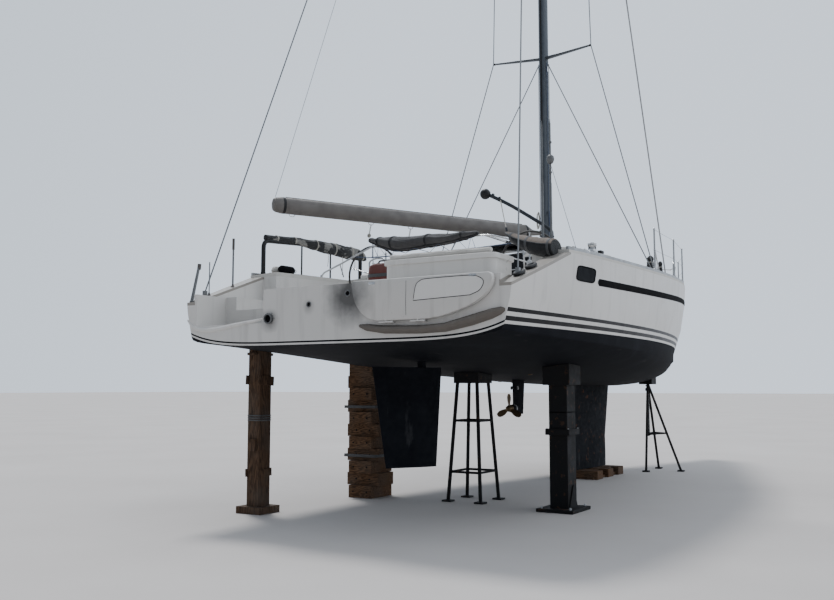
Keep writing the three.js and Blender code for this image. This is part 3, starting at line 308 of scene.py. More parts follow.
@dataclass(frozen=True)
class HullPaint(Gelcoat):
    """Topsides with boot stripes, over antifouling paint below the waterline."""

    dark: Colour = (0.005, 0.006, 0.009)
    stripe: Colour = (0.0035, 0.004, 0.006)
    rise: float = 0.0075

    def dress(self, graph: Graph) -> None:
        """Colours the hull by height above the painted waterline."""
        x, y, z = (graph.axis(name) for name in "XYZ")
        line = graph.math("MULTIPLY_ADD", x, self.rise)
        line.node.inputs[2].default_value = WATERLINE_Z + 0.02 + self.rise * KEEL_STATION
        over = graph.math("SUBTRACT", z, line)
        across = graph.math("POWER", graph.math("DIVIDE", graph.math("ABSOLUTE", y), 2.16), 6.0)
        lip = graph.math("MULTIPLY_ADD", across, 0.14)
        lip.node.inputs[2].default_value = 2.108
        edge = graph.math("SUBTRACT", z, lip)
        transom = graph.math("LESS_THAN", x, 0.004 - KEEL_STATION)

        gel = self.shell(graph)
        grey = graph.spread(over, 1.0, 1.35)
        gel = graph.mix(graph.times(grey, 0.16), gel, (0.36, 0.36, 0.37))
        # A dark tan band along the wings' top edge: the step grit's beige, painted darker as shade on the wing's top.
        wing = graph.math("MULTIPLY_ADD", x, WING_SLOPE)
        wing.node.inputs[2].default_value = WING_Z + WING_SLOPE * KEEL_STATION
        tan = graph.band(graph.math("SUBTRACT", z, wing), -0.035, 0.03)
        tan = graph.times(tan, graph.math("LESS_THAN", x, 1.34 - KEEL_STATION))
        tan = graph.times(tan, graph.math("GREATER_THAN", graph.math("ABSOLUTE", y), 2.115))
        gel = graph.mix(graph.times(tan, 0.8), gel, (0.2, 0.175, 0.145))
        worn = graph.spread(graph.noise(2.1, 6), 0.5, 0.72)
        bottom = graph.mix(graph.times(worn, 0.4), self.dark, (0.018, 0.02, 0.026))
        scrape = graph.spread(graph.noise(6, 5, (0.25, 1, 1.6)), 0.66, 0.74)
        bottom = graph.mix(graph.times(scrape, 0.3), bottom, (0.06, 0.057, 0.055))

        outside = graph.math("MAXIMUM", graph.math("GREATER_THAN", graph.math("ABSOLUTE", y), 2.15),
                             graph.math("GREATER_THAN", x, 1.5 - KEEL_STATION))
        stripes = graph.math("MAXIMUM", graph.band(over, 0.034, 0.082), graph.band(over, 0.125, 0.168))
        stripes = graph.times(stripes, outside)
        side = graph.mix(stripes, gel, self.stripe)
        side = graph.mix(graph.math("LESS_THAN", over, 0.0), side, bottom)
        line_mark = graph.math("MAXIMUM", graph.band(edge, 0.036, 0.056), graph.math("LESS_THAN", edge, 0.014))
        aft = graph.mix(line_mark, self.sooted_and_shaded(graph, gel), self.stripe)
        graph.set(Base_Color=graph.mix(transom, side, aft))

        under = graph.times(graph.math("LESS_THAN", over, 0.0), graph.math("SUBTRACT", 1.0, transom))
        gloss = graph.spread(graph.noise(5, 5), 0.25, 0.75, self.rough - 0.05, self.rough + 0.12)
        graph.set(Roughness=graph.math("MAXIMUM", gloss, graph.times(under, 0.82)))
        dull = graph.math("MAXIMUM", under, graph.mix(transom, stripes, line_mark))
        graph.set(Specular_IOR_Level=graph.spread(dull, 0.0, 1.0, self.shine, 0.1))
        grain = graph.times(graph.noise(90, 4), graph.math("MULTIPLY_ADD", under, 0.9))
        graph.bump(grain, 0.0016, 0.6)
        graph.bump(graph.noise(1.1, 3), 0.006, 0.5)


@dataclass(frozen=True)
class NonSkid(Finish):
    """Deck paint with a sharp grit laid over the moulding."""

    grit: float = 320.0

    def dress(self, graph: Graph) -> None:
        """Colours the deck, and grits what faces up."""
        clouds = graph.spread(graph.noise(1.1, 6), 0.35, 0.7)
        tread = graph.spread(graph.noise(7, 4), 0.55, 0.75)
        colour = graph.mix(graph.times(clouds, 0.4), self.base, self.soil)
        graph.set(Base_Color=graph.mix(graph.times(tread, 0.25), colour, (0.3, 0.29, 0.27)))
        graph.set(Roughness=graph.spread(graph.noise(12, 3), 0.3, 0.7, self.rough - 0.05, self.rough + 0.15))
        cells = graph.add("TexVoronoi", {"Vector": graph.place, "Scale": self.grit}).outputs["Distance"]
        graph.bump(cells, 0.0012, 0.7)


@dataclass(frozen=True)
class Antifoul(Finish):
    """Matt rollered bottom paint, chalked and scuffed."""

    rust: float = 0.0

    def dress(self, graph: Graph) -> None:
        """Colours the paint with chalk, scuffs and, on iron, rust."""
        chalk = graph.spread(graph.noise(2.4, 7), 0.42, 0.72)
        colour = graph.mix(graph.times(chalk, 0.55), self.base, self.soil)
        scuff = graph.spread(graph.noise(5, 6, (1, 1, 0.3)), 0.62, 0.74)
        colour = graph.mix(graph.times(scuff, 0.4), colour, (0.1, 0.1, 0.105))
        spots = graph.spread(graph.noise(8, 8), 0.6, 0.7)
        graph.set(Base_Color=graph.mix(graph.times(spots, self.rust), colour, (0.16, 0.062, 0.025)))
        graph.set(Roughness=graph.spread(graph.noise(14, 3), 0.3, 0.7, self.rough - 0.12, self.rough + 0.1))
        graph.bump(graph.noise(75, 5), 0.0018, 0.7)


@dataclass(frozen=True)
class Metal(Finish):
    """Drawn or cast metal with fine scratches, dulled in patches."""

    grain: Sequence[float] = (1, 1, 1)
    chips: float = 0.0
    under: Colour = (0.2, 0.1, 0.05)

    def dress(self, graph: Graph) -> None:
        """Colours the metal with dull patches and chips, and draws its scratches."""
        dull = graph.spread(graph.noise(6, 5), 0.35, 0.72)
        colour = graph.mix(graph.times(dull, 0.55), self.base, self.soil)
        chipped = graph.spread(graph.noise(13, 7), 0.6, 0.66)
        graph.set(Base_Color=graph.mix(graph.times(chipped, self.chips), colour, self.under))
        lines = graph.noise(120, 4, self.grain)
        wear = graph.math("ADD", lines, dull)
        graph.set(Roughness=graph.spread(wear, 0.4, 1.5, self.rough - 0.08, self.rough + 0.18))
        graph.bump(lines, 0.0004, 0.5)
        graph.bump(graph.noise(30, 5), 0.0007, 0.25 + self.chips)


@dataclass(frozen=True)
class Strand(Finish):
    """Laid wire or rope: strands wind round the piece's own length."""

    pitch: float = 0.05
    strands: float = 3.0
    depth: float = 0.002

    def dress(self, graph: Graph) -> None:
        """Winds the strands by the piece's UV map, whose V is its length in metres."""
        uv = graph.add("SeparateXYZ", {0: graph.coords.outputs["UV"]})
        turns = graph.math("DIVIDE", uv.outputs["Y"], self.pitch)
        wound = graph.math("ADD", graph.times(uv.outputs["X"], self.strands), turns)
        ridge = graph.math("ABSOLUTE", graph.math("SINE", graph.times(wound, math.pi)))
        # The grooves between the strands are darkened toward the soil colour: painted shade.
        groove = graph.spread(ridge, 0.0, 0.45, 0.55, 0.0)
        worn = graph.spread(graph.noise(5, 5), 0.35, 0.75, 0.0, 0.5)
        colour = graph.mix(worn, self.base, self.soil)
        graph.set(Base_Color=graph.mix(groove, colour, tuple(0.35 * c for c in self.soil)))
        graph.set(Roughness=graph.spread(graph.noise(40, 3), 0.3, 0.7, self.rough - 0.06, self.rough + 0.1))
        graph.bump(ridge, self.depth, 0.8)


@dataclass(frozen=True)
class Weave(Finish):
    """Woven cloth: over-and-under threads, faded and creased."""

    thread: float = 260.0
    sheen: float = 0.25

    def dress(self, graph: Graph) -> None:
        """Colours the cloth with fading and creases, and raises its threads."""
        graph.set(Sheen_Weight=self.sheen)
        faded = graph.spread(graph.noise(3.5, 6), 0.35, 0.7)
        stains = graph.spread(graph.noise(11, 5), 0.6, 0.75)
        colour = graph.mix(graph.times(faded, 0.6), self.base, self.soil)
        graph.set(Base_Color=graph.mix(graph.times(stains, 0.4), colour, tuple(0.5 * c for c in self.soil)))
        graph.set(Roughness=graph.spread(graph.noise(25, 3), 0.3, 0.7, self.rough - 0.08, self.rough + 0.06))
        threads = [
            graph.add("TexWave", {"Vector": graph.place, "Scale": self.thread, "Distortion": 0.4},
                      bands_direction=way).outputs["Fac"]
            for way in "XYZ"
        ]
        cloth = graph.times(graph.math("ADD", threads[0], threads[1]), threads[2])
        graph.bump(cloth, 0.0007, 0.7)
        graph.bump(graph.noise(16, 5), 0.008, 0.6)


@dataclass(frozen=True)
class Patched(Weave):
    """Dark cloth with paler patches where it has faded and been turned."""

    pale: Colour = (0.3, 0.29, 0.27)

    def dress(self, graph: Graph) -> None:
        """Colours the cloth, and lays the patches over it."""
        super().dress(graph)
        colour = graph.shader.inputs["Base Color"].links[0].from_socket
        patches = graph.spread(graph.noise(2.6, 3, (1.4, 1, 2.2)), 0.56, 0.6)
        graph.set(Base_Color=graph.mix(graph.times(patches, 0.7), colour, self.pale))


@dataclass(frozen=True)
class Timber(Finish):
    """Rough-sawn shoring timber or oiled planks with grain, knots and checks."""

    along: Sequence[float] = (6, 1, 6)
    checks: float = 0.6

    def dress(self, graph: Graph) -> None:
        """Draws the grain along the plank, with its knots and drying checks."""
        stretched = graph.scaled(self.along)
        bend = graph.add("TexNoise", {"Vector": stretched, "Scale": 1.6, "Detail": 5.0}).outputs["Color"]
        moved = graph.add("VectorMath", {0: stretched, 1: bend}, operation="ADD").outputs[0]
        rings = graph.add("TexWave", {"Vector": moved, "Scale": 3.2, "Distortion": 5.0, "Detail": 4.0},
                          bands_direction="DIAGONAL").outputs["Fac"]
        grain = graph.mix(graph.spread(rings, 0.2, 0.85), self.base, self.soil)
        weather = graph.spread(graph.noise(2.6, 6), 0.4, 0.7)
        grain = graph.mix(graph.times(weather, 0.5), grain, (0.1, 0.088, 0.075))
        split = graph.add("TexNoise", {"Vector": stretched, "Scale": 7.0, "Detail": 6.0}).outputs["Fac"]
        check = graph.spread(split, 0.63, 0.68)
        graph.set(Base_Color=graph.mix(graph.times(check, self.checks), grain, (0.018, 0.013, 0.01)))
        graph.set(Roughness=graph.spread(rings, 0.0, 1.0, self.rough - 0.1, self.rough + 0.05))
        graph.bump(graph.math("SUBTRACT", rings, graph.times(check, 2.0)), 0.003, 0.7)


@dataclass(frozen=True)
class Acrylic(Finish):
    """Smoked glazing with dust and a faint edge of salt."""

    def dress(self, graph: Graph) -> None:
        """Darkens the pane and lays dust on it."""
        dust = graph.spread(graph.noise(4.5, 7), 0.45, 0.8)
        graph.set(Base_Color=graph.mix(graph.times(dust, 0.3), self.base, self.soil))
        graph.set(Roughness=graph.spread(dust, 0.0, 1.0, self.rough, self.rough + 0.22), IOR=1.49)
        graph.bump(graph.noise(2.0, 2), 0.002, 0.3)


class Finishes:
    """Every finish of the yacht and its supports."""

    HULL = HullPaint("hull_gelcoat", Slot.GELCOAT, (0.66, 0.645, 0.62), (0.5, 0.48, 0.45), 0.34)
    MOULDING = Gelcoat("moulding_gelcoat", Slot.GELCOAT, (0.68, 0.665, 0.64), (0.52, 0.5, 0.465), 0.32, coat=0.2)
    DOOR = Gelcoat("transom_gelcoat", Slot.GELCOAT, (0.6, 0.585, 0.56), (0.42, 0.4, 0.37), 0.34, coat=0.2, streaks=0.6)
    DECK = NonSkid("deck_grit", Slot.DECK, (0.6, 0.585, 0.55), (0.47, 0.455, 0.42), 0.7)
    BOARD = Gelcoat("bare_name_board", Slot.GELCOAT, (0.72, 0.705, 0.68), (0.6, 0.58, 0.55), 0.3, streaks=0.15)
    # The step grit's dark brown is its beige darkened as painted shade, the shade on the ledge under the door.
    TREAD = NonSkid("step_grit", Slot.DECK, (0.15, 0.132, 0.115), (0.1, 0.088, 0.078), 0.8, shine=0.3, grit=240)
    BOTTOM = Antifoul("bottom_paint", Slot.ANTIFOUL, (0.005, 0.006, 0.009), (0.014, 0.016, 0.021), 0.85, shine=0.15)
    FIN = Antifoul("keel_paint", Slot.KEEL, (0.007, 0.008, 0.011), (0.02, 0.022, 0.026), 0.85, shine=0.15, rust=0.4)
    SPAR = Metal("spar_anodising", Slot.SPAR, (0.055, 0.066, 0.08), (0.1, 0.112, 0.128), 0.42, 0.55, grain=(3, 3, 0.05))
    # The boom's base is darker than its taupe-grey enamel: partly painted shade, as the boom stands against the light.
    BOOM = Metal("boom_enamel", Slot.BOOM, (0.15, 0.138, 0.128), (0.1, 0.092, 0.086), 0.55, 0.1, grain=(0.2, 1, 1))
    STEEL = Metal("stainless_steel", Slot.STEEL, (0.62, 0.63, 0.64), (0.42, 0.42, 0.42), 0.22, 1.0)
    STAFF = Metal("staff_paint", Slot.STEEL, (0.09, 0.08, 0.075), (0.05, 0.045, 0.042), 0.6, 0.1)
    ALLOY_DARK = Metal("grey_tube", Slot.STEEL, (0.17, 0.175, 0.18), (0.1, 0.1, 0.1), 0.45, 0.6, grain=(3, 3, 0.1))
    ALLOY = Metal("grey_alloy", Slot.STEEL, (0.4, 0.41, 0.42), (0.28, 0.28, 0.28), 0.42, 0.9)
    BLACK = Metal("black_powder_coat", Slot.BLACK, (0.007, 0.0075, 0.009), (0.02, 0.021, 0.023), 0.45, 0.0,
                  shine=0.3, chips=0.1)
    STAND = Metal("stand_paint", Slot.BLACK, (0.007, 0.0075, 0.009), (0.02, 0.018, 0.017), 0.65, 0.0,
                  shine=0.2, chips=0.5, under=(0.09, 0.045, 0.025))
    DAVIT = Metal("davit_enamel", Slot.DAVIT, (0.02, 0.026, 0.035), (0.04, 0.048, 0.058), 0.45, 0.0,
                  shine=0.3, chips=0.1)
    BRONZE = Metal("propeller_bronze", Slot.BRONZE, (0.16, 0.105, 0.05), (0.06, 0.055, 0.045), 0.5, 0.7)
    ZINC = Metal("anode_zinc", Slot.STEEL, (0.42, 0.43, 0.44), (0.24, 0.24, 0.235), 0.6, 0.7)
    WIRE = Strand("rigging_wire", Slot.WIRE, (0.36, 0.37, 0.38), (0.22, 0.225, 0.23), 0.35, 0.9,
                  pitch=0.12, strands=6, depth=0.0006)
    ROPE = Strand("braided_rope", Slot.CANVAS, (0.6, 0.58, 0.52), (0.33, 0.31, 0.27), 0.85)
    BLUE_ROPE = Strand("dark_rope", Slot.CLOTH, (0.05, 0.08, 0.16), (0.12, 0.13, 0.15), 0.85)
    CLOTH = Weave("black_cloth", Slot.CLOTH, (0.009, 0.0095, 0.011), (0.024, 0.025, 0.028), 0.9, sheen=0.1)
    PATCHED = Patched("patched_cloth", Slot.CLOTH, (0.01, 0.0105, 0.012), (0.03, 0.031, 0.034), 0.9, sheen=0.1)
    WEBBING = Weave("strap_webbing", Slot.CLOTH, (0.05, 0.052, 0.056), (0.11, 0.11, 0.11), 0.8, thread=420)
    CANVAS = Weave("pale_canvas", Slot.CANVAS, (0.6, 0.585, 0.55), (0.42, 0.4, 0.365), 0.85)
    DARK_CANVAS = Weave("weathered_canvas", Slot.CANVAS, (0.045, 0.044, 0.046), (0.1, 0.098, 0.098), 0.9, sheen=0.1)
    TAN_CANVAS = Weave("tan_canvas", Slot.CANVAS, (0.2, 0.16, 0.13), (0.12, 0.098, 0.082), 0.9, sheen=0.1)
    RED_CLOTH = Weave("red_cloth", Slot.CLOTH, (0.13, 0.034, 0.028), (0.075, 0.03, 0.026), 0.85, sheen=0.1)
    SHORE = Timber("shoring_timber", Slot.TIMBER, (0.15, 0.082, 0.043), (0.07, 0.038, 0.021), 0.9, shine=0.2)
    POST = Timber("upright_timber", Slot.TIMBER, (0.1, 0.058, 0.034), (0.05, 0.029, 0.018), 0.9,
                  shine=0.2, along=(6, 6, 0.7))
    TEAK = Timber("oiled_teak", Slot.TIMBER, (0.3, 0.17, 0.085), (0.19, 0.105, 0.055), 0.6,
                  along=(1, 9, 9), checks=0.15)
    GLAZING = Acrylic("smoked_acrylic", Slot.SMOKED, (0.008, 0.009, 0.012), (0.06, 0.06, 0.062), 0.08, shine=0.25)
    LEATHER = Finish("stitched_leather", Slot.CLOTH, (0.03, 0.027, 0.025), (0.08, 0.075, 0.07), 0.62)
    PORTLIGHT = Acrylic("dark_portlight", Slot.SMOKED, (0.003, 0.004, 0.006), (0.014, 0.014, 0.016), 0.5, shine=0.05)
    FENDER = Finish("fender_vinyl", Slot.CANVAS, (0.42, 0.4, 0.37), (0.2, 0.19, 0.175), 0.5)
    RUBBER = Finish("black_rubber", Slot.CLOTH, (0.004, 0.004, 0.005), (0.012, 0.012, 0.012), 0.8, shine=0.05)


# Shapes


def between(a: object, b: object, c: object, d: object, u: float) -> object:
    """Returns a number or a vector on the smooth curve from b to c, with a before them and d after."""
    return 0.5 * (2 * b + (c - a) * u + (2 * a - 5 * b + 4 * c - d) * u * u + (3 * b - a - 3 * c + d) * u ** 3)


def smooth_path(points: Points, per_leg: int = 6) -> list[Vector]:
    """Returns a path that passes smoothly through its points."""
    knots = [Vector(p) for p in points]
    if len(knots) < 3:
        return knots
    knots = [2 * knots[0] - knots[1], *knots, 2 * knots[-1] - knots[-2]]
    path = []
    for leg in zip(knots, knots[1:], knots[2:], knots[3:]):
        path += [between(*leg, i / per_leg) for i in range(per_leg)]
    return [*path, knots[-2]]


def rounded(points: Points, radius: float, steps: int = 5) -> list[Vector]:
    """Returns a bent path whose corners are rounded to a radius."""
    knots = [Vector(p) for p in points]
    path = [knots[0]]
    for before, corner, after in zip(knots, knots[1:], knots[2:]):
        back, ahead = before - corner, after - corner
        reach = min(radius, 0.45 * back.length, 0.45 * ahead.length)
        start, end = corner + back.normalized() * reach, corner + ahead.normalized() * reach
        for i in range(steps + 1):
            u = i / steps
            path.append(start * (1 - u) ** 2 + corner * 2 * u * (1 - u) + end * u * u)
    return [*path, knots[-1]]


def facing(direction: Sequence[float]) -> Matrix:
    """Returns a turn that takes the Z axis to a direction."""
    return Vector((0, 0, 1)).rotation_difference(Vector(direction).normalized()).to_matrix().to_4x4()


def eased(table: Sequence[Section], per_leg: int = 5) -> list[list[float]]:
    """Returns the rows of a table with smooth rows between them."""
    rows = [list(row) for row in table]
    rows = [[2 * a - b for a, b in zip(rows[0], rows[1])], *rows, [2 * a - b for a, b in zip(rows[-1], rows[-2])]]
    made = []
    for leg in zip(rows, rows[1:], rows[2:], rows[3:]):
        made += [[between(*column, i / per_leg) for column in zip(*leg)] for i in range(per_leg)]
    return [*made, rows[-2]]


def turns(count: int, extra: int = 0) -> list[float]:
    """Returns angles spaced evenly round a full turn, and any extra ones past it."""
    return [math.tau * i / count for i in range(count + extra)]


def arc_points(centre: Section, radius: float, start: float, end: float,
               steps: int) -> list[tuple[float, float]]:
    """Returns points of an arc in a plane, from one angle to another in degrees."""
    angles = [math.radians(start + (end - start) * i / steps) for i in range(steps + 1)]
    return [(centre[0] + radius * math.cos(a), centre[1] + radius * math.sin(a)) for a in angles]


def oblong(length: float, width: float, corner: float, steps: int = 5) -> list[tuple[float, float]]:
    """Returns the outline of a plate with round corners, centred on the origin."""
    x, y = length / 2 - corner, width / 2 - corner
    outline = []
    for k, (i, j) in enumerate(((1, 1), (-1, 1), (-1, -1), (1, -1))):
        outline += arc_points((i * x, j * y), corner, 90 * k, 90 * k + 90, steps)
    return outline


def lying(station: float, y: float, z: float, turn: float = 0.0) -> Matrix:
    """Returns the place of a flat piece at a station, turned about the upright in degrees."""
    return Matrix.Translation(at(station, y, z)) @ Matrix.Rotation(math.radians(turn), 4, "Z")


def standing(station: float, y: float, z: float) -> Matrix:
    """Returns the place of a plate on the transom: its X to port, its Y up, its Z aft."""
    turn = Matrix(((0, 0, -1, 0), (1, 0, 0, 0), (0, 1, 0, 0), (0, 0, 0, 1)))
    return Matrix.Translation(at(station, y, z)) @ turn


class Maker:
    """Collects the faces of one piece from tubes, turned shapes, blocks and skins."""

    def __init__(self) -> None:
        """Starts an empty piece."""
        self.bm = bmesh.new()
        self.uv = self.bm.loops.layers.uv.new("UVMap")
        self.layer = 0

    def loft(self, rings: Sequence[Points], closed: bool = True, caps: bool = True,
             lengths: Sequence[float] | None = None) -> None:
        """Skins like rings of points.

        Args:
            rings: the rings, each with the same number of points.
            closed: whether a ring's last point joins its first.
            caps: whether the end rings are filled.
            lengths: the V of each ring in the UV map, in metres.
        """
        rows = [[self.bm.verts.new(p) for p in ring] for ring in rings]
        count = len(rows[0])
        steps = count if closed else count - 1
        lengths = lengths or list(range(len(rows)))
        for i in range(len(rows) - 1):
            for j in range(steps):
                k = (j + 1) % count
                corners = (rows[i][j], rows[i][k], rows[i + 1][k], rows[i + 1][j])
                face = self.bm.faces.new(corners)
                face.material_index = self.layer
                spots = ((j, i), (j + 1, i), (j + 1, i + 1), (j, i + 1))
                for loop, (u, v) in zip(face.loops, spots):
                    loop[self.uv].uv = (u / steps, lengths[v])
        if caps:
            for row in (rows[0][::-1], rows[-1]):
                self.bm.faces.new(row).material_index = self.layer

    def tube(self, path: Points, radius: float | Sequence[float], sides: int = 12, caps: bool = True) -> None:
        """Sweeps a round section along a path, with one radius or one for each point."""
        path = [Vector(p) for p in path]
        radii = radius if isinstance(radius, (list, tuple)) else [radius] * len(path)
        ways = [(path[min(i + 1, len(path) - 1)] - path[max(i - 1, 0)]).normalized() for i in range(len(path))]
        side = ways[0].orthogonal().normalized()
        rings, lengths, run = [], [], 0.0
        for i, (point, way) in enumerate(zip(path, ways)):
            if i:
                side = (ways[i - 1].rotation_difference(way) @ side).normalized()
                run += (point - path[i - 1]).length
            other = way.cross(side)
            rings.append([point + radii[i] * (math.cos(a) * side + math.sin(a) * other) for a in turns(sides)])
            lengths.append(run)
        self.loft(rings, caps=caps, lengths=lengths)

    def hoop(self, loop: Points, radius: float, sides: int = 10) -> None:
        """Sweeps a round section along a closed loop of points."""
        knots = [Vector(p) for p in loop]
        count = len(knots)
        normal = sum(((a - knots[0]).cross(b - knots[0]) for a, b in zip(knots, knots[1:])), Vector()).normalized()
        rings, lengths, run = [], [], 0.0
        for i in range(count + 1):
            point = knots[i % count]
            way = (knots[(i + 1) % count] - knots[i - 1 if i % count else count - 1]).normalized()
            out = way.cross(normal).normalized()
            rings.append([point + radius * (math.cos(a) * out + math.sin(a) * normal) for a in turns(sides)])
            lengths.append(run)
            run += (knots[(i + 1) % count] - point).length
        self.loft(rings, caps=False, lengths=lengths)

    def lathe(self, profile: Points, origin: Sequence[float], way: Sequence[float] = (0, 0, 1),
              sides: int = 24) -> None:
        """Turns a profile of (radius, height) pairs, foot first, about a direction."""
        place = Matrix.Translation(origin) @ facing(way)
        rings = [[place @ Vector((r * math.cos(a), r * math.sin(a), h)) for a in turns(sides)] for r, h in profile]
        self.loft(rings)

    def block(self, size: Sequence[float], place: Matrix | Vector, soft: float = 0.004, steps: int = 2) -> None:
        """Adds a block with softened edges, centred on a place."""
        matrix = place if isinstance(place, Matrix) else Matrix.Translation(place)
        made = bmesh.ops.create_cube(self.bm, size=1.0, matrix=matrix @ Matrix.Diagonal((*size, 1)))
        edges = {e for v in made["verts"] for e in v.link_edges}
        cut = bmesh.ops.bevel(self.bm, geom=list(edges), offset=min(soft, 0.3 * min(size)), segments=steps,
                              affect="EDGES", profile=0.5)
        faces = {f for v in cut["verts"] for f in v.link_faces}
        for face in faces:
            face.material_index = self.layer

    def plate(self, outline: Points, thick: float, place: Matrix, soft: float = 0.0) -> None:
        """Adds a flat plate from an outline of XY points, anticlockwise, lying from Z 0 up."""
        low = [self.bm.verts.new(place @ Vector((x, y, 0))) for x, y in outline]
        high = [self.bm.verts.new(place @ Vector((x, y, thick))) for x, y in outline]
        faces = [self.bm.faces.new(low[::-1]), self.bm.faces.new(high)]
        for i in range(len(low)):
            j = (i + 1) % len(low)
            faces.append(self.bm.faces.new((low[i], low[j], high[j], high[i])))
        for face in faces:
            face.material_index = self.layer
        if soft:
            rim = [*faces[1].edges, *faces[0].edges]
            bmesh.ops.bevel(self.bm, geom=rim, offset=soft, segments=2, affect="EDGES", profile=0.5)

    def ball(self, centre: Sequence[float], radius: float, squash: Sequence[float] = (1, 1, 1),
             sides: int = 20) -> None:
        """Adds a ball or an egg."""
        matrix = Matrix.Translation(centre) @ Matrix.Diagonal((*squash, 1))
        made = bmesh.ops.create_uvsphere(self.bm, u_segments=sides, v_segments=sides // 2, radius=radius, matrix=matrix)
        for face in {f for v in made["verts"] for f in v.link_faces}:
            face.material_index = self.layer

    def mesh(self, name: str, sharp: float = 35.0) -> Mesh:
        """Returns the collected faces as a mesh, smooth but for its sharp edges."""
        bmesh.ops.remove_doubles(self.bm, verts=self.bm.verts, dist=1e-6)
        bmesh.ops.recalc_face_normals(self.bm, faces=self.bm.faces)
        data = bpy.data.meshes.new(name)
        self.bm.to_mesh(data)
        self.bm.free()
        data.shade_smooth()
        data.set_sharp_from_angle(angle=math.radians(sharp))
        return data


class Stuffing:
    """Swells padded cloth between its ties with a short cloth simulation."""

    def __init__(self, axis: int, ties: Sequence[float], reach: float = 0.022, cap: float = 0.014) -> None:
        """Args: axis: the long axis; ties: places along it; reach: half a tie's width; cap: farthest move."""
        self.axis, self.ties, self.reach, self.cap = axis, ties, reach, cap

    def held(self, point: Vector) -> bool:
        """Returns whether a point lies under a tie."""
        return any(abs(point[self.axis] - tie) < self.reach for tie in self.ties)

    def swell(self, data: Mesh, voxel: float = 0.009, pressure: float = 3.5, frames: int = 18) -> Mesh:
        """Swells a closed mesh.

        Args:
            data: the slack form.
            voxel: edge of the remeshed cloth's faces.
            pressure: pressure of the filling.
            frames: steps of the simulation.

        Returns:
            The padded form.
        """
        scene = bpy.context.scene
        carrier = show("stuffing", data)
        grid = carrier.modifiers.new("Grid", "REMESH")
        grid.mode, grid.voxel_size = "VOXEL", voxel
        graph = bpy.context.evaluated_depsgraph_get()
        cloth = bpy.data.meshes.new_from_object(carrier.evaluated_get(graph))
        carrier.modifiers.clear()
        carrier.data = cloth
        slack = [v.co.copy() for v in cloth.vertices]
        pins = carrier.vertex_groups.new(name="ties")
        pins.add([i for i, p in enumerate(slack) if self.held(p)], 1.0, "REPLACE")
        sim = carrier.modifiers.new("Cloth", "CLOTH")
        sim.settings.quality = 4
        sim.settings.mass = 0.3
        sim.settings.tension_stiffness = sim.settings.compression_stiffness = 12
        sim.settings.bending_stiffness = 0.4
        sim.settings.use_pressure = True
        sim.settings.uniform_pressure_force = pressure
        sim.settings.vertex_group_mass = "ties"
        sim.settings.effector_weights.gravity = 0.15
        sim.point_cache.frame_start, sim.point_cache.frame_end = 1, frames
        for frame in range(1, frames + 1):
            scene.frame_set(frame)
        graph = bpy.context.evaluated_depsgraph_get()
        cloth = bpy.data.meshes.new_from_object(carrier.evaluated_get(graph))
        for vertex, start in zip(cloth.vertices, slack):
            move = vertex.co - start
            if move.length > self.cap:
                vertex.co = start + move.normalized() * self.cap
        bpy.data.objects.remove(carrier)
        scene.frame_set(1)
        cloth.shade_smooth()
        return cloth


class Stamp(Enum):
    """Small forms that a row repeats."""

    SCREW = "screw"
    BAR = "bar"


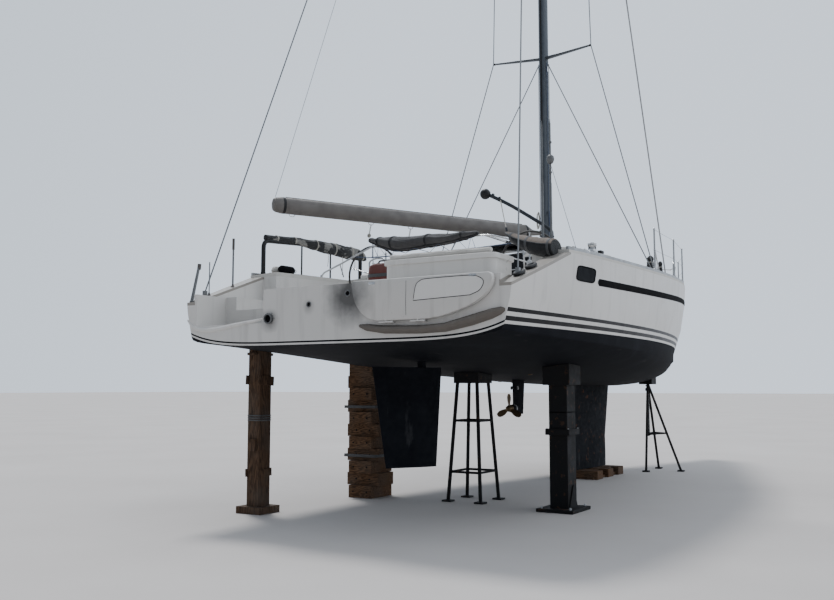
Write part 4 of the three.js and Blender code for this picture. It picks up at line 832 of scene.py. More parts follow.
class Grower(Wires):
    """A Geometry Nodes tree for what repeats or winds along a path."""

    def __init__(self, name: str, sizes: dict[str, float]) -> None:
        """Args: name: the tree's name; sizes: its size inputs with their usual values."""
        super().__init__(bpy.data.node_groups.new(name, "GeometryNodeTree"))
        plug = self.tree.interface.new_socket
        plug(name="Geometry", in_out="INPUT", socket_type="NodeSocketGeometry")
        plug(name="Geometry", in_out="OUTPUT", socket_type="NodeSocketGeometry")
        for label, value in sizes.items():
            plug(name=label, in_out="INPUT", socket_type="NodeSocketFloat").default_value = value
        plug(name="Finish", in_out="INPUT", socket_type="NodeSocketMaterial")
        self.given = self.nodes.new("NodeGroupInput").outputs

    def close(self, made: Socket) -> bpy.types.NodeTree:
        """Ends the tree in Realize Instances and Set Material, and returns it."""
        real = self.node("GeometryNodeRealizeInstances", {"Geometry": made}).outputs["Geometry"]
        paint = self.node("GeometryNodeSetMaterial", {"Geometry": real, "Material": self.given["Finish"]})
        self.node("NodeGroupOutput", {"Geometry": paint.outputs["Geometry"]})
        return self.tree

    @classmethod
    def stamps(cls, stamp: Stamp) -> bpy.types.NodeTree:
        """Returns the tree that stamps a screw head or a bar on each point, along its facing."""
        found = bpy.data.node_groups.get("row_of_" + stamp.value)
        if found:
            return found
        grower = cls("row_of_" + stamp.value, {"Width": 0.01, "Length": 0.01, "Height": 0.004})
        width, length, height = (grower.given[label] for label in ("Width", "Length", "Height"))
        if stamp is Stamp.SCREW:
            form = grower.node("GeometryNodeMeshCone", {"Vertices": 10, "Radius Bottom": width, "Radius Top": length,
                                                        "Depth": height})
        else:
            size = grower.node("ShaderNodeCombineXYZ", {"X": width, "Y": length, "Z": height}).outputs[0]
            form = grower.node("GeometryNodeMeshCube", {"Size": size})
        way = grower.node("GeometryNodeInputNamedAttribute", {"Name": "facing"}, data_type="FLOAT_VECTOR")
        turn = grower.node("FunctionNodeAlignRotationToVector", {"Vector": way.outputs["Attribute"]}, axis="Z")
        rows = grower.node("GeometryNodeInstanceOnPoints", {
            "Points": grower.given["Geometry"], "Instance": form.outputs["Mesh"], "Rotation": turn.outputs["Rotation"]})
        return grower.close(rows.outputs["Instances"])

    def vector(self, operation: str, a: Socket, b: Socket) -> Socket:
        """Returns the result of a Vector Math node."""
        slot = "Scale" if operation == "SCALE" else 1
        return self.node("ShaderNodeVectorMath", {0: a, slot: b}, operation=operation).outputs[0]

    @classmethod
    def coil(cls) -> bpy.types.NodeTree:
        """Returns the tree that winds a cord round a path."""
        found = bpy.data.node_groups.get("wound_cord")
        if found:
            return found
        grower = cls("wound_cord", {"Turns": 8.0, "Coil Radius": 0.02, "Cord Radius": 0.003})
        rounds, reach = grower.given["Turns"], grower.given["Coil Radius"]
        path = grower.node("GeometryNodeMeshToCurve", {"Mesh": grower.given["Geometry"]}).outputs["Curve"]
        even = grower.node("GeometryNodeResampleCurve", {"Curve": path, "Count": grower.times(rounds, 10.0)})
        along = grower.node("GeometryNodeSplineParameter").outputs["Factor"]
        angle = grower.times(grower.times(along, rounds), math.tau)
        normal = grower.node("GeometryNodeInputNormal").outputs["Normal"]
        tangent = grower.node("GeometryNodeInputTangent").outputs["Tangent"]
        other = grower.vector("CROSS_PRODUCT", tangent, normal)
        out_a = grower.vector("SCALE", normal, grower.times(grower.math("COSINE", angle), reach))
        out_b = grower.vector("SCALE", other, grower.times(grower.math("SINE", angle), reach))
        wound = grower.node("GeometryNodeSetPosition", {"Geometry": even.outputs["Curve"],
                                                        "Offset": grower.vector("ADD", out_a, out_b)})
        ring = grower.node("GeometryNodeCurvePrimitiveCircle", {"Resolution": 6, "Radius": grower.given["Cord Radius"]})
        skin = grower.node("GeometryNodeCurveToMesh", {
            "Curve": wound.outputs["Geometry"], "Profile Curve": ring.outputs["Curve"], "Fill Caps": True})
        return grower.close(skin.outputs["Mesh"])


class Yard:
    """Places finished pieces on the frame's bodies."""

    def __init__(self, frame: dict) -> None:
        self.frame = frame
        groups = frame["record"]["behaviour"]["bodies"]
        self.body_of = {node: body for body, nodes in groups.items() for node in nodes}
        self.left = set(frame["nodes"])

    def put(self, name: str, data: Mesh, finishes: Sequence[Finish], body: str = "yacht",
            replaces: Sequence[str] = (), bevel: float = 0.0, levels: int = 0) -> bpy.types.Object:
        """Makes a mesh a piece of the object.

        Args:
            name: the piece's name.
            data: its mesh.
            finishes: the finish of each material index.
            body: the body that it rides on.
            replaces: CAD nodes that it stands for.
            bevel: width of a bevel on its sharp edges.
            levels: subdivision levels.

        Returns:
            The piece.
        """
        piece = show(name, data)
        for finish in finishes:
            if finish.name not in data.materials:
                data.materials.append(finish.build())
        if bevel:
            soft = piece.modifiers.new("Soft edges", "BEVEL")
            soft.width, soft.segments, soft.limit_method = bevel, 2, "ANGLE"
            soft.angle_limit = math.radians(38)
            soft.harden_normals = True
        if levels:
            smooth = piece.modifiers.new("Smooth", "SUBSURF")
            smooth.levels = smooth.render_levels = levels
        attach(piece, body)
        if replaces:
            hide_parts(*replaces)
            self.left -= set(replaces)
        log.info("%s rides on %s, %d faces", name, body, len(data.polygons))
        return piece

    def skin(self, node: str, finish: Finish, sharp: float = 30.0, bevel: float = 0.0) -> bpy.types.Object:
        """Gives a CAD node a smooth-shaded skin of the same shape.

        Args:
            node: the CAD node.
            finish: its finish.
            sharp: the angle in degrees over which an edge stays sharp.
            bevel: width of a bevel on the sharp edges.

        Returns:
            The piece.
        """
        bm = bmesh.new()
        bm.from_mesh(self.frame["nodes"][node].data)
        bmesh.ops.remove_doubles(bm, verts=bm.verts, dist=2e-5)
        bmesh.ops.dissolve_limit(bm, angle_limit=math.radians(0.4), verts=bm.verts, edges=bm.edges)
        data = bpy.data.meshes.new(node + "_skin")
        bm.to_mesh(data)
        bm.free()
        for layer in list(data.uv_layers):
            data.uv_layers.remove(layer)
        if "custom_normal" in data.attributes:
            data.attributes.remove(data.attributes["custom_normal"])
        data.shade_smooth()
        data.set_sharp_from_angle(angle=math.radians(sharp))
        return self.put(node + "_skin", data, [finish], self.body_of[node], [node], bevel)

    def grow(self, name: str, tree: bpy.types.NodeTree, spots: Points, sizes: dict[str, float], finish: Finish,
             body: str = "yacht", ways: Points = (), joined: bool = False) -> bpy.types.Object:
        """Makes a piece with a Geometry Nodes tree.

        Args:
            name: the piece's name.
            tree: the tree.
            spots: the points that it works on.
            sizes: the tree's size inputs, by name.
            finish: the finish that it sets.
            body: the body that the piece rides on.
            ways: the facing of each point.
            joined: whether the points are one path.

        Returns:
            The piece, a plain mesh.
        """
        seed = bpy.data.meshes.new(name + "_seed")
        edges = [(i, i + 1) for i in range(len(spots) - 1)] if joined else []
        seed.from_pydata([tuple(p) for p in spots], edges, [])
        if ways:
            held = seed.attributes.new("facing", "FLOAT_VECTOR", "POINT")
            held.data.foreach_set("vector", [c for way in ways for c in way])
        carrier = show(name + "_seed", seed)
        modifier = carrier.modifiers.new("Tree", "NODES")
        modifier.node_group = tree
        for item in tree.interface.items_tree:
            if item.item_type == "SOCKET" and item.in_out == "INPUT":
                if item.name in sizes:
                    modifier[item.identifier] = sizes[item.name]
                elif item.name == "Finish":
                    modifier[item.identifier] = finish.build()
        graph = bpy.context.evaluated_depsgraph_get()
        data = bpy.data.meshes.new_from_object(carrier.evaluated_get(graph))
        bpy.data.objects.remove(carrier)
        data.shade_smooth()
        data.set_sharp_from_angle(angle=math.radians(35))
        return self.put(name, data, [finish], body)


@dataclass
class HullForm:
    """The hull's faired form, station by station."""

    offsets: Points = (
        (0.0, 2.29, 3.08, 2.16, 2.11, 2.6), (1.4, 2.37, 3.15, 2.25, 2.01, 2.6),
        (3.0, 2.4, 3.2, 2.29, 1.87, 2.5), (5.0, 2.34, 3.27, 2.19, 1.74, 2.4),
        (7.0, 2.09, 3.37, 1.88, 1.67, 2.3), (9.0, 1.63, 3.48, 1.38, 1.66, 2.2),
        (11.0, 1.01, 3.62, 0.76, 1.75, 2.0), (12.5, 0.52, 3.74, 0.34, 1.89, 1.9),
        (13.5, 0.19, 3.825, 0.095, 2.05, 1.8), (14.05, 0.035, 3.87, 0.022, 2.14, 1.8),
    )
    stations: Sequence[float] = (
        0, 0.42, 0.86, 1.3, 1.8, 2.35, 2.9, 3.5, 4.1, 4.7, 5.3, 5.9, 6.5, 7.1, 7.7, 8.3, 8.9, 9.5,
        10.1, 10.7, 11.25, 11.8, 12.3, 12.75, 13.15, 13.5, 13.8, 14.05,
    )
    roof: Points = ((4.6, 1.23, 0.47), (6.0, 1.24, 0.406), (7.5, 1.12, 0.32), (8.8, 0.9, 0.21), (9.7, 0.64, 0.06))
    stem_start: float = 12.3
    stem_rake: float = 0.17

    @staticmethod
    def faired(table: Points, t: float) -> list[float]:
        """Returns one smoothly interpolated row of a table whose first column is the station."""
        i = 0
        while i + 2 < len(table) and t > table[i + 1][0]:
            i += 1
        p, q = table[i], table[i + 1]
        before, after = table[max(i - 1, 0)], table[min(i + 2, len(table) - 1)]
        span = q[0] - p[0]
        u = (t - p[0]) / span
        row = [t]
        for k in range(1, len(p)):
            rise_p = span * (q[k] - before[k]) / (q[0] - before[0])
            rise_q = span * (after[k] - p[k]) / (after[0] - p[0])
            h = u * u * (3 - 2 * u)
            row.append(p[k] + h * (q[k] - p[k]) + (u ** 3 - 2 * u * u + u) * rise_p + (u ** 3 - u * u) * rise_q)
        return row

    def half(self, t: float) -> float:
        """Returns the deck's half breadth at a station."""
        return self.faired(self.offsets, t)[1]

    def sheer(self, t: float) -> float:
        """Returns the height of the deck edge at a station."""
        return self.faired(self.offsets, t)[2]

    def crown(self, t: float, y: float = 0.0) -> float:
        """Returns the height of the deck's surface at a station and a distance from the middle."""
        half, sheer = self.half(t), self.sheer(t)
        camber = 0.03 * half
        away = min(abs(y) / max(half, 0.01), 1.0)
        share = 1 - 0.28 * away / 0.55 if away < 0.55 else 0.72 * (1 - away) / 0.45
        return sheer + DECK_EDGE + camber * share

    def bottom(self, t: float, y: float) -> float:
        """Returns the height of the hull's bottom at a station and a side distance."""
        _, _, _, water, low, full = self.faired(self.offsets, t)
        return WATERLINE_Z - (WATERLINE_Z - low) * (1 - min(abs(y) / water, 1) ** full) ** (1 / full)

    def side(self, t: float, z: float) -> Vector:
        """Returns the point of the port topside at a station and a height above the waterline."""
        lower = max(s for s in self.stations if s <= t)
        upper = min(s for s in self.stations if s > t) if t < self.stations[-1] else lower
        share = (t - lower) / (upper - lower) if upper > lower else 0.0
        ends = []
        for s in (lower, upper):
            _, half, deck, water, _, _ = self.faired(self.offsets, s)
            swell = (half - water) * 0.22
            tall = deck - WATERLINE_Z
            line = ((water, WATERLINE_Z), (water + (half - water) * 0.35 + swell, WATERLINE_Z + tall * 0.35),
                    (water + (half - water) * 0.7 + swell * 0.8, WATERLINE_Z + tall * 0.7), (half, deck))
            i = 0
            while i < 2 and z > line[i + 1][1]:
                i += 1
            (y0, z0), (y1, z1) = line[i], line[i + 1]
            y = y0 + (y1 - y0) * (z - z0) / (z1 - z0)
            u = max(0.0, (s - self.stem_start) / (14.05 - self.stem_start))
            x = s - KEEL_STATION - u * u * self.stem_rake * min((3.87 - z) / (3.87 - WATERLINE_Z), 1.0)
            ends.append(Vector((x, y, z)))
        return ends[0].lerp(ends[1], share)

    def out(self, t: float, z: float) -> Vector:
        """Returns the outward direction of the port topside at a station and a height."""
        ahead = self.side(min(t + 0.3, 13.9), z) - self.side(max(t - 0.3, 0.0), z)
        up = self.side(t, z + 0.05) - self.side(t, z - 0.05)
        return up.cross(-ahead).normalized() if up.cross(-ahead).y > 0 else ahead.cross(-up).normalized()

    def roof_row(self, t: float) -> list[float]:
        """Returns the coachroof's station, half breadth and height above the deck edge."""
        return self.faired(self.roof, t)

    def roof_top(self, t: float) -> float:
        """Returns the height of the coachroof's ridge at a station."""
        return self.sheer(t) + DECK_EDGE + self.roof_row(t)[2] + 0.07


@dataclass
class Topsides:
    """The rubbing strips and the side lights of both topsides."""

    form: HullForm
    strip: Sequence[float] = (2.17, 11.82)
    strip_drop: float = 0.285
    strip_tall: float = 0.086
    light_centre: Sequence[float] = (1.795, 2.945)
    light_size: Sequence[float] = (0.275, 0.085)
    light_slope: float = 0.02

    def on(self, t: float, z: float, side: int, lift: float) -> Vector:
        """Returns a point over a topside.

        Args:
            t: station.
            z: height.
            side: 1 for port, -1 for starboard.
            lift: distance outwards from the moulding.

        Returns:
            The point.
        """
        point = self.form.side(t, z) + lift * self.form.out(t, z)
        return Vector((point.x, side * point.y, point.z))

    def build(self, yard: Yard) -> None:
        """Fits the strips and the lights."""
        for side, name in BOTH:
            yard.put("rubbing_strip_" + name, self.strip_mesh(side), [Finishes.RUBBER])
            yard.put("side_light_" + name, self.light_mesh(side), [Finishes.PORTLIGHT, Finishes.RUBBER])

    def strip_mesh(self, side: int) -> Mesh:
        """Returns a strip that follows the sheer, tapered at both ends."""
        maker = Maker()
        first, last = self.strip
        stops = sorted({first, first + 0.04, last - 0.25, last, *(s for s in self.form.stations if first < s < last)})
        rings = []
        for t in stops:
            half = self.strip_tall / 2 * min(1.0, 0.35 + (t - first) / 0.06, 0.3 + (last - t) / 1.2)
            middle = self.form.sheer(t) - self.strip_drop
            profile = ((-1, -0.005), (-1, 0.002), (-0.6, 0.007), (0.6, 0.007), (1, 0.002), (1, -0.005))
            rings.append([self.on(t, middle + share * half, side, lift) for share, lift in profile])
        maker.loft(rings)
        return maker.mesh("rubbing_strip")

    def light_mesh(self, side: int) -> Mesh:
        """Returns a side light: a smoked pane in a black frame."""
        maker = Maker()
        (ct, cz), (a, b) = self.light_centre, self.light_size

        def ring(scale: float, lift: float) -> list[Vector]:
            """Returns the light's outline, scaled."""
            points = []
            for i in range(36):
                c, s = math.cos(math.tau * i / 36), math.sin(math.tau * i / 36)
                u = scale * a * math.copysign(abs(c) ** 0.35, c)
                v = scale * b * math.copysign(abs(s) ** 0.35, s)
                points.append(self.on(ct + u + 0.25 * v, cz + v + self.light_slope * u, side, lift))
            return points

        maker.loft([ring(0.05, -0.006), ring(0.97, -0.006), ring(0.97, 0.002), ring(0.5, 0.003), ring(0.05, 0.003)])
        maker.layer = 1
        maker.hoop(ring(1.0, 0.001), 0.008)
        return maker.mesh("side_light")


@dataclass
class Transom:
    """The drop-down door's trim, the bare name board, the outlets and the boarding recess."""

    form: HullForm
    door_aft: float = -0.095
    port_end: Points = (
        (-0.7, 2.361), (-0.59, 2.384), (-0.48, 2.458), (-0.402, 2.57), (-0.366, 2.7), (-0.362, 2.766),
        (-0.382, 2.782),
    )
    stbd_end: Points = (
        (-2.03, 2.782), (-2.06, 2.762), (-2.06, 2.7), (-2.012, 2.612), (-1.903, 2.526), (-1.76, 2.46),
        (-1.5, 2.385), (-1.3, 2.361),
    )
    board: Points = ((-1.15, 2.545), (-1.18, 2.7), (-1.235, 2.752), (-1.33, 2.768), (-1.8, 2.772),
                     (-1.925, 2.752), (-1.985, 2.7))
    board_foot: Points = ((-1.94, 2.615), (-1.83, 2.57))
    groove_y: float = -1.06
    outlets: Points = ((0.317, 2.58, 0.026), (-0.23, 2.68, 0.03))
    exhaust: Sequence[float] = (0.9, 2.44)
    lip: Points = ((2.235, 2.47), (2.12, 2.372), (1.93, 2.335), (1.7, 2.345), (1.47, 2.378), (1.2, 2.412),
                   (0.97, 2.446))

    def build(self, yard: Yard) -> None:
        """Trims the door and fits the outlets and the recess."""
        door = "transom_platform"
        yard.put("door_seal_gap_shade", self.seal_and_gap_shade(), [Finishes.RUBBER], door)
        yard.put("name_board", self.name_board(), [Finishes.BOARD, Finishes.RUBBER], door)
        yard.put("transom_outlets", self.outlet_rings(), [Finishes.ALLOY_DARK, Finishes.RUBBER])
        yard.put("boarding_lip", self.recess(), [Finishes.MOULDING, Finishes.TREAD])
        yard.put("door_catches", self.catches(), [Finishes.STEEL], door)

    def seal_and_gap_shade(self) -> Mesh:
        """Returns the black rubber strip behind the door's edge; its black also stands as painted shade in the gap
        round the door.
        """
        maker = Maker()
        outline = [*eased(self.port_end, 2), *eased(self.stbd_end, 2)]
        middle = Vector((-1.2, 2.58))
        inset = [middle + (Vector(p) - middle) * 0.975 for p in outline]
        maker.hoop([at(-0.0078, y, z) for y, z in inset], 0.0072, 8)
        return maker.mesh("door_seal_gap_shade")

    def name_board(self) -> Mesh:
        """Returns the bare board with its dark border, and the door's upright joint line."""
        maker = Maker()
        outline = eased([*self.board, *self.board_foot], 5)
        spots = [(y, z) for y, z in outline]
        maker.plate(spots[::-1], 0.002, standing(self.door_aft, 0, 0), 0.0008)
        maker.layer = 1
        maker.hoop([at(self.door_aft - 0.001, y, z) for y, z in spots], 0.004, 6)
        line = [(self.groove_y, 2.395), (self.groove_y + 0.004, 2.5), (self.groove_y, 2.765)]
        maker.tube([at(self.door_aft, y, z) for y, z in line], 0.0022, 6)
        return maker.mesh("name_board")

    def outlet_rings(self) -> Mesh:
        """Returns the skin fittings, with their dark throats and the exhaust's flap."""
        maker = Maker()
        aft = (-1, 0, 0)
        for y, z, radius in self.outlets:
            maker.layer = 0
            maker.lathe([(radius * 1.35, -0.004), (radius * 1.35, 0.003), (radius * 1.1, 0.009), (radius * 0.86, 0.004),
                         (radius * 0.8, -0.004)], at(0, y, z), aft, 20)
            maker.layer = 1
            maker.lathe([(radius * 0.85, -0.003), (radius * 0.84, 0.001), (radius * 0.3, 0.0018)], at(0, y, z), aft, 16)
        y, z = self.exhaust
        maker.lathe([(0.047, -0.004), (0.046, 0.016), (0.02, 0.02)], at(0, y, z), aft, 20)
        maker.layer = 0
        for a in turns(6):
            maker.ball(at(-0.001, y + 0.072 * math.cos(a), z + 0.072 * math.sin(a)), 0.006, (0.5, 1, 1), 8)
        return maker.mesh("transom_outlets")

    def recess(self) -> Mesh:
        """Returns the rounded lip of the boarding recess and the grit pads on its steps."""
        maker = Maker()
        path = eased([(*p, r) for p, r in zip(self.lip, (0.012, 0.024, 0.03, 0.03, 0.026, 0.02, 0.008))], 4)
        maker.tube([at(0.004, y, z) for y, z, _ in path], [r for _, _, r in path], 10)
        maker.layer = 1
        maker.plate(oblong(0.38, 0.86, 0.05), 0.004, lying(0.27, 1.54, 2.389))
        maker.plate(oblong(0.86, 0.66, 0.05), 0.004, lying(1.05, 1.42, 2.619))
        return maker.mesh("boarding_lip")

    def catches(self) -> Mesh:
        """Returns the two flush catches along the head of the door."""
        maker = Maker()
        for y in (-0.62, -1.86):
            maker.plate(oblong(0.09, 0.03, 0.012), 0.003, standing(self.door_aft, y, 2.772 if y < -1 else 2.76), 0.001)
        return maker.mesh("door_catches")


@dataclass
class SternGear:
    """The folded seat, the davit, the antennas, the rolled bimini and the port quarter rail with its bundle."""

    form: HullForm
    seat: Sequence[Section] = (
        (-2.226, 1.25, 3.196, 0.16, 0.098), (-2.205, 1.25, 3.198, 0.168, 0.106), (-2.11, 1.25, 3.206, 0.17, 0.11),
        (-1.94, 1.25, 3.246, 0.166, 0.099), (-1.79, 1.252, 3.304, 0.15, 0.077), (-1.69, 1.256, 3.362, 0.118, 0.051),
        (-1.606, 1.262, 3.418, 0.05, 0.018),
    )
    bimini: Sequence[Section] = (
        (-0.766, 2.17, 3.644, 0.036, 0.014), (-0.65, 2.172, 3.626, 0.096, 0.042), (-0.2, 2.176, 3.6, 0.14, 0.076),
        (0.43, 2.182, 3.592, 0.152, 0.102), (0.7, 2.184, 3.63, 0.128, 0.074), (0.9, 2.186, 3.672, 0.078, 0.034),
        (0.956, 2.188, 3.684, 0.032, 0.012),
    )
    bundle: Sequence[Section] = (
        (1.48, 3.74, 0.04, 0.04), (2.27, 3.784, 0.05, 0.062), (2.8, 3.782, 0.06, 0.092),
        (3.4, 3.78, 0.066, 0.108), (3.74, 3.782, 0.064, 0.102), (3.9, 3.756, 0.056, 0.072),
        (3.98, 3.728, 0.028, 0.03),
    )
    rail_y: float = 2.264
    rail: Points = ((1.45, 3.0), (1.45, 3.69), (2.27, 3.752), (3.4, 3.802), (3.83, 3.786), (3.83, 3.1))
    rail_posts: Points = ((2.31, 3.754), (3.02, 3.785))
    davit_foot: Sequence[float] = (1.6, -2.03)
    bend: Points = (
        (0, 0, 0.2), (0.006, 0.008, 0.268), (0.046, 0.07, 0.33), (0.13, 0.23, 0.446), (0.228, 0.44, 0.59),
        (0.318, 0.64, 0.702), (0.342, 0.7, 0.726),
    )
    frame_leg: Points = ((2.43, 1.985, 3.1), (2.43, 1.985, 3.3), (2.33, 1.56, 3.41), (2.21, 0.9, 3.61),
                         (2.18, 0.6, 3.6))
    antenna_t: float = 1.46

    def build(self, yard: Yard) -> None:
        """Makes the gear piece by piece."""
        self.folded_seat(yard)
        self.davit(yard)
        self.antennas(yard)
        self.bimini_gear(yard)
        self.quarter(yard)
        self.wing_poles(yard)

    @staticmethod
    def cross_ring(row: Section, sides: int, swell: float = 0.0, flat: float = 1.0) -> list[Vector]:
        """Returns an oval ring across the boat, grown by swell and flattened below by flat."""
        y, t, z, long, tall = row
        ring = []
        for a in turns(sides):
            up = math.sin(a)
            ring.append(at(t + (long + swell) * math.cos(a), y, z + (tall + swell) * up * (flat if up < 0 else 1.0)))
        return ring

    @staticmethod
    def strap(maker: Maker, row: Section, half: float, under: float, sides: int) -> None:
        """Lays a flat strap round an oval that lies across the boat."""
        y, t, z, long, tall = row
        edge = ((-half, under), (-half, 0.009), (half, 0.009), (half, under))
        maker.loft([[at(t + (long + s) * math.cos(w), y + o, z + (tall + s) * math.sin(w)) for o, s in edge]
                    for w in turns(sides, 1)], caps=False)

    def folded_seat(self, yard: Yard) -> None:
        """Makes the padded seat with its pale top cover, piping and straps."""
        maker = Maker()
        rows = eased(self.seat, 6)
        creased = [
            [y, t, z, long * (1 + 0.012 * math.sin(31 * y)), tall * (1 + 0.03 * math.sin(47 * y + 1))]
            for y, t, z, long, tall in rows
        ]
        maker.loft([self.cross_ring(row, 28) for row in creased])
        ties = [creased[k][0] for k in (1, 8, 19, 29, -2)]
        cloth = Stuffing(1, ties, cap=0.01).swell(maker.mesh("folded_seat", 60))
        pad = yard.put("folded_seat", cloth, [Finishes.CLOTH], replaces=["corner_seat"])

        maker = Maker()
        shells = []
        for y, t, z, long, tall in creased[1:-1]:
            outer = [(t + (long + 0.005) * math.cos(a), z + (tall + 0.006) * math.sin(a))
                     for a in (math.radians(16 + 148 * i / 18) for i in range(19))]
            inner = [(t + (long - 0.004) * math.cos(a), z + (tall - 0.004) * math.sin(a))
                     for a in (math.radians(164 - 148 * i / 18) for i in range(19))]
            shells.append([at(p, y, q) for p, q in outer + inner])
        maker.loft(shells)
        cover = yard.put("seat_cover", maker.mesh("seat_cover", 50), [Finishes.TAN_CANVAS])

        maker = Maker()
        for side in (16, 164):
            angle = math.radians(side)
            edge = [at(t + (long + 0.004) * math.cos(angle), y, z + (tall + 0.004) * math.sin(angle))
                    for y, t, z, long, tall in creased[1:]]
            maker.tube(edge, 0.006, 8)
        for k in (8, 19, 29):
            self.strap(maker, creased[k], 0.014, 0.003, 40)
        yard.put("seat_straps", maker.mesh("seat_straps"), [Finishes.WEBBING])

    def davit(self, yard: Yard) -> None:
        """Makes the davit's arm with its ball, band, block and fall, and its bolted foot."""
        (t0, y0), deck = self.davit_foot, self.form.sheer(1.6) + DECK_EDGE
        points = [at(t0 - a, y0 + b, deck + c) for a, b, c in self.bend]
        path = [at(t0, y0, deck + 0.0705), *smooth_path(points, 5)]
        maker = Maker()
        maker.tube(path, 0.0213, 18)
        foot, head = path[0], path[-1]
        way = (path[-1] - path[-4]).normalized()
        for share in (0.035, 0.075, 0.125):
            maker.lathe([(0.02, 0), (0.027, 0.004), (0.027, 0.014), (0.02, 0.018)], foot + Vector((0, 0, share)),
                        sides=18)
        maker.lathe([(0.02, 0), (0.03, 0.006), (0.03, 0.03), (0.02, 0.036)], head - 0.11 * way, way, 18)
        maker.layer = 1
        maker.lathe([(0.012, -0.064), (0.042, -0.05), (0.061, -0.02), (0.065, 0.004), (0.058, 0.03), (0.036, 0.054),
                     (0.01, 0.064)], head, way, 24)
        maker.layer = 2
        hook = at(1.3, -1.5, 3.862)
        end = at(1.262, -1.6, 3.47)
        maker.tube([hook, hook.lerp(end, 0.5) + Vector((0, 0, -0.006)), end], 0.0055, 8)
        maker.tube([hook + Vector((0.012, 0, 0)), hook.lerp(end, 0.5) + Vector((0.01, 0, -0.012)), end], 0.004, 8)
        maker.layer = 0
        maker.block((0.028, 0.018, 0.05), Matrix.Translation(hook + Vector((0, 0, -0.01))) @ facing(end - hook), 0.007)
        maker.block((0.024, 0.016, 0.05), Matrix.Translation(end) @ facing(end - hook), 0.006)
        yard.put("davit_arm", maker.mesh("davit_arm"), [Finishes.DAVIT, Finishes.BLACK, Finishes.ROPE], "davit_arm",
                 ["davit"])
        maker = Maker()
        maker.lathe([(0.043, -0.001), (0.043, 0.006), (0.034, 0.014), (0.03, 0.052), (0.034, 0.062), (0.03, 0.069)],
                    at(t0, y0, deck + 0.0008), sides=24)
        for i in range(4):
            a = math.radians(45 + 90 * i)
            maker.lathe([(0.006, 0), (0.006, 0.005), (0.003, 0.007)],
                        at(t0 + 0.0365 * math.cos(a), y0 + 0.0365 * math.sin(a), deck + 0.006), sides=6)
        yard.put("davit_foot", maker.mesh("davit_foot"), [Finishes.DAVIT], replaces=["davit_base"])

    def antennas(self, yard: Yard) -> None:
        """Makes the two antenna masts, one with its ball and its stay."""
        for name, y, top, ball in (("aft", -1.975, 4.765, 0.0), ("fore", -2.08, 4.77, 4.29)):
            foot = self.form.crown(self.antenna_t, y)
            maker = Maker()
            base = at(self.antenna_t, y, foot - 0.002)
            maker.lathe([(0.034, 0), (0.034, 0.006), (0.02, 0.02), (0.0145, 0.035), (0.0138, 0.8), (0.0105, 0.81),
                         (0.0095, top - foot - 0.05), (0.006, top - foot - 0.04), (0.005, top - foot)], base, sides=14)
            if ball:
                centre = at(self.antenna_t, y, ball)
                maker.lathe([(0.014, -0.06), (0.03, -0.05), (0.044, -0.018), (0.046, 0.006), (0.04, 0.03),
                             (0.022, 0.046), (0.012, 0.05)], centre, sides=20)
                for z in (ball - 0.16, ball + 0.2):
                    maker.lathe([(0.0105, -0.012), (0.019, -0.01), (0.019, 0.01), (0.0105, 0.012)],
                                at(self.antenna_t, y, z), sides=14)
                maker.layer = 1
                maker.tube([at(self.antenna_t, y, ball - 0.05), at(1.62, -2.33, self.form.sheer(1.62) + DECK_EDGE)],
                           0.0032, 6)
            yard.put("antenna_mast_" + name, maker.mesh("antenna_mast"), [Finishes.ALLOY_DARK, Finishes.WIRE],
                     replaces=["antenna_pole_" + name])

    def bimini_gear(self, yard: Yard) -> None:
        """Makes the rolled bimini on its bows: canvas, dark hem, straps and lacing."""
        rows = eased(self.bimini, 7)
        maker = Maker()
        rings = []
        for row in rows:
            y = row[0]
            ring = self.cross_ring(row, 30)
            for a, point in zip(turns(30), ring):
                fold = 0.006 * math.sin(5 * a + 9 * y) + 0.004 * math.sin(38 * y + 2 * a)
                point.z += fold * min(1.0, row[4] / 0.05)
            rings.append(ring)
        maker.loft(rings)
        ties = [rows[k][0] for k in (2, 9, 16, 23, 30, 36, -3)]
        cloth = Stuffing(1, ties).swell(maker.mesh("rolled_bimini", 60))
        roll = yard.put("rolled_bimini", cloth, [Finishes.DARK_CANVAS], replaces=["bimini_roll"])

        maker = Maker()
        for w, radius in ((math.radians(236), 0.017), (math.radians(262), 0.014)):
            hem = [at(t + 0.97 * long * math.cos(w), y, z + 0.99 * tall * math.sin(w)) for y, t, z, long, tall in rows]
            maker.tube(hem, radius, 10)
        for k in (9, 16, 23, 30, 36):
            self.strap(maker, rows[k], 0.013, 0.002, 36)
        yard.put("bimini_hem", maker.mesh("bimini_hem"), [Finishes.CLOTH])

        maker = Maker()
        legs = [at(*p) for p in self.frame_leg]
        other = [at(t, -y, z) for t, y, z in self.frame_leg][::-1]
        maker.tube(rounded([*legs, *other], 0.12, 7), 0.0125, 16)
        for side in (1, -1):
            t, y, _ = self.frame_leg[0]
            foot = at(t, side * y, self.form.crown(t, y) - 0.001)
            maker.lathe([(0.032, 0), (0.032, 0.006), (0.018, 0.012), (0.017, 0.045), (0.0125, 0.05)], foot, sides=20)
            maker.tube([at(2.335, side * 1.58, 3.406), at(2.62, side * 1.72, self.form.crown(2.62, 1.72) + 0.004)],
                       0.009, 10)
        yard.put("bimini_bows", maker.mesh("bimini_bows"), [Finishes.STEEL], replaces=["bimini_frame"])

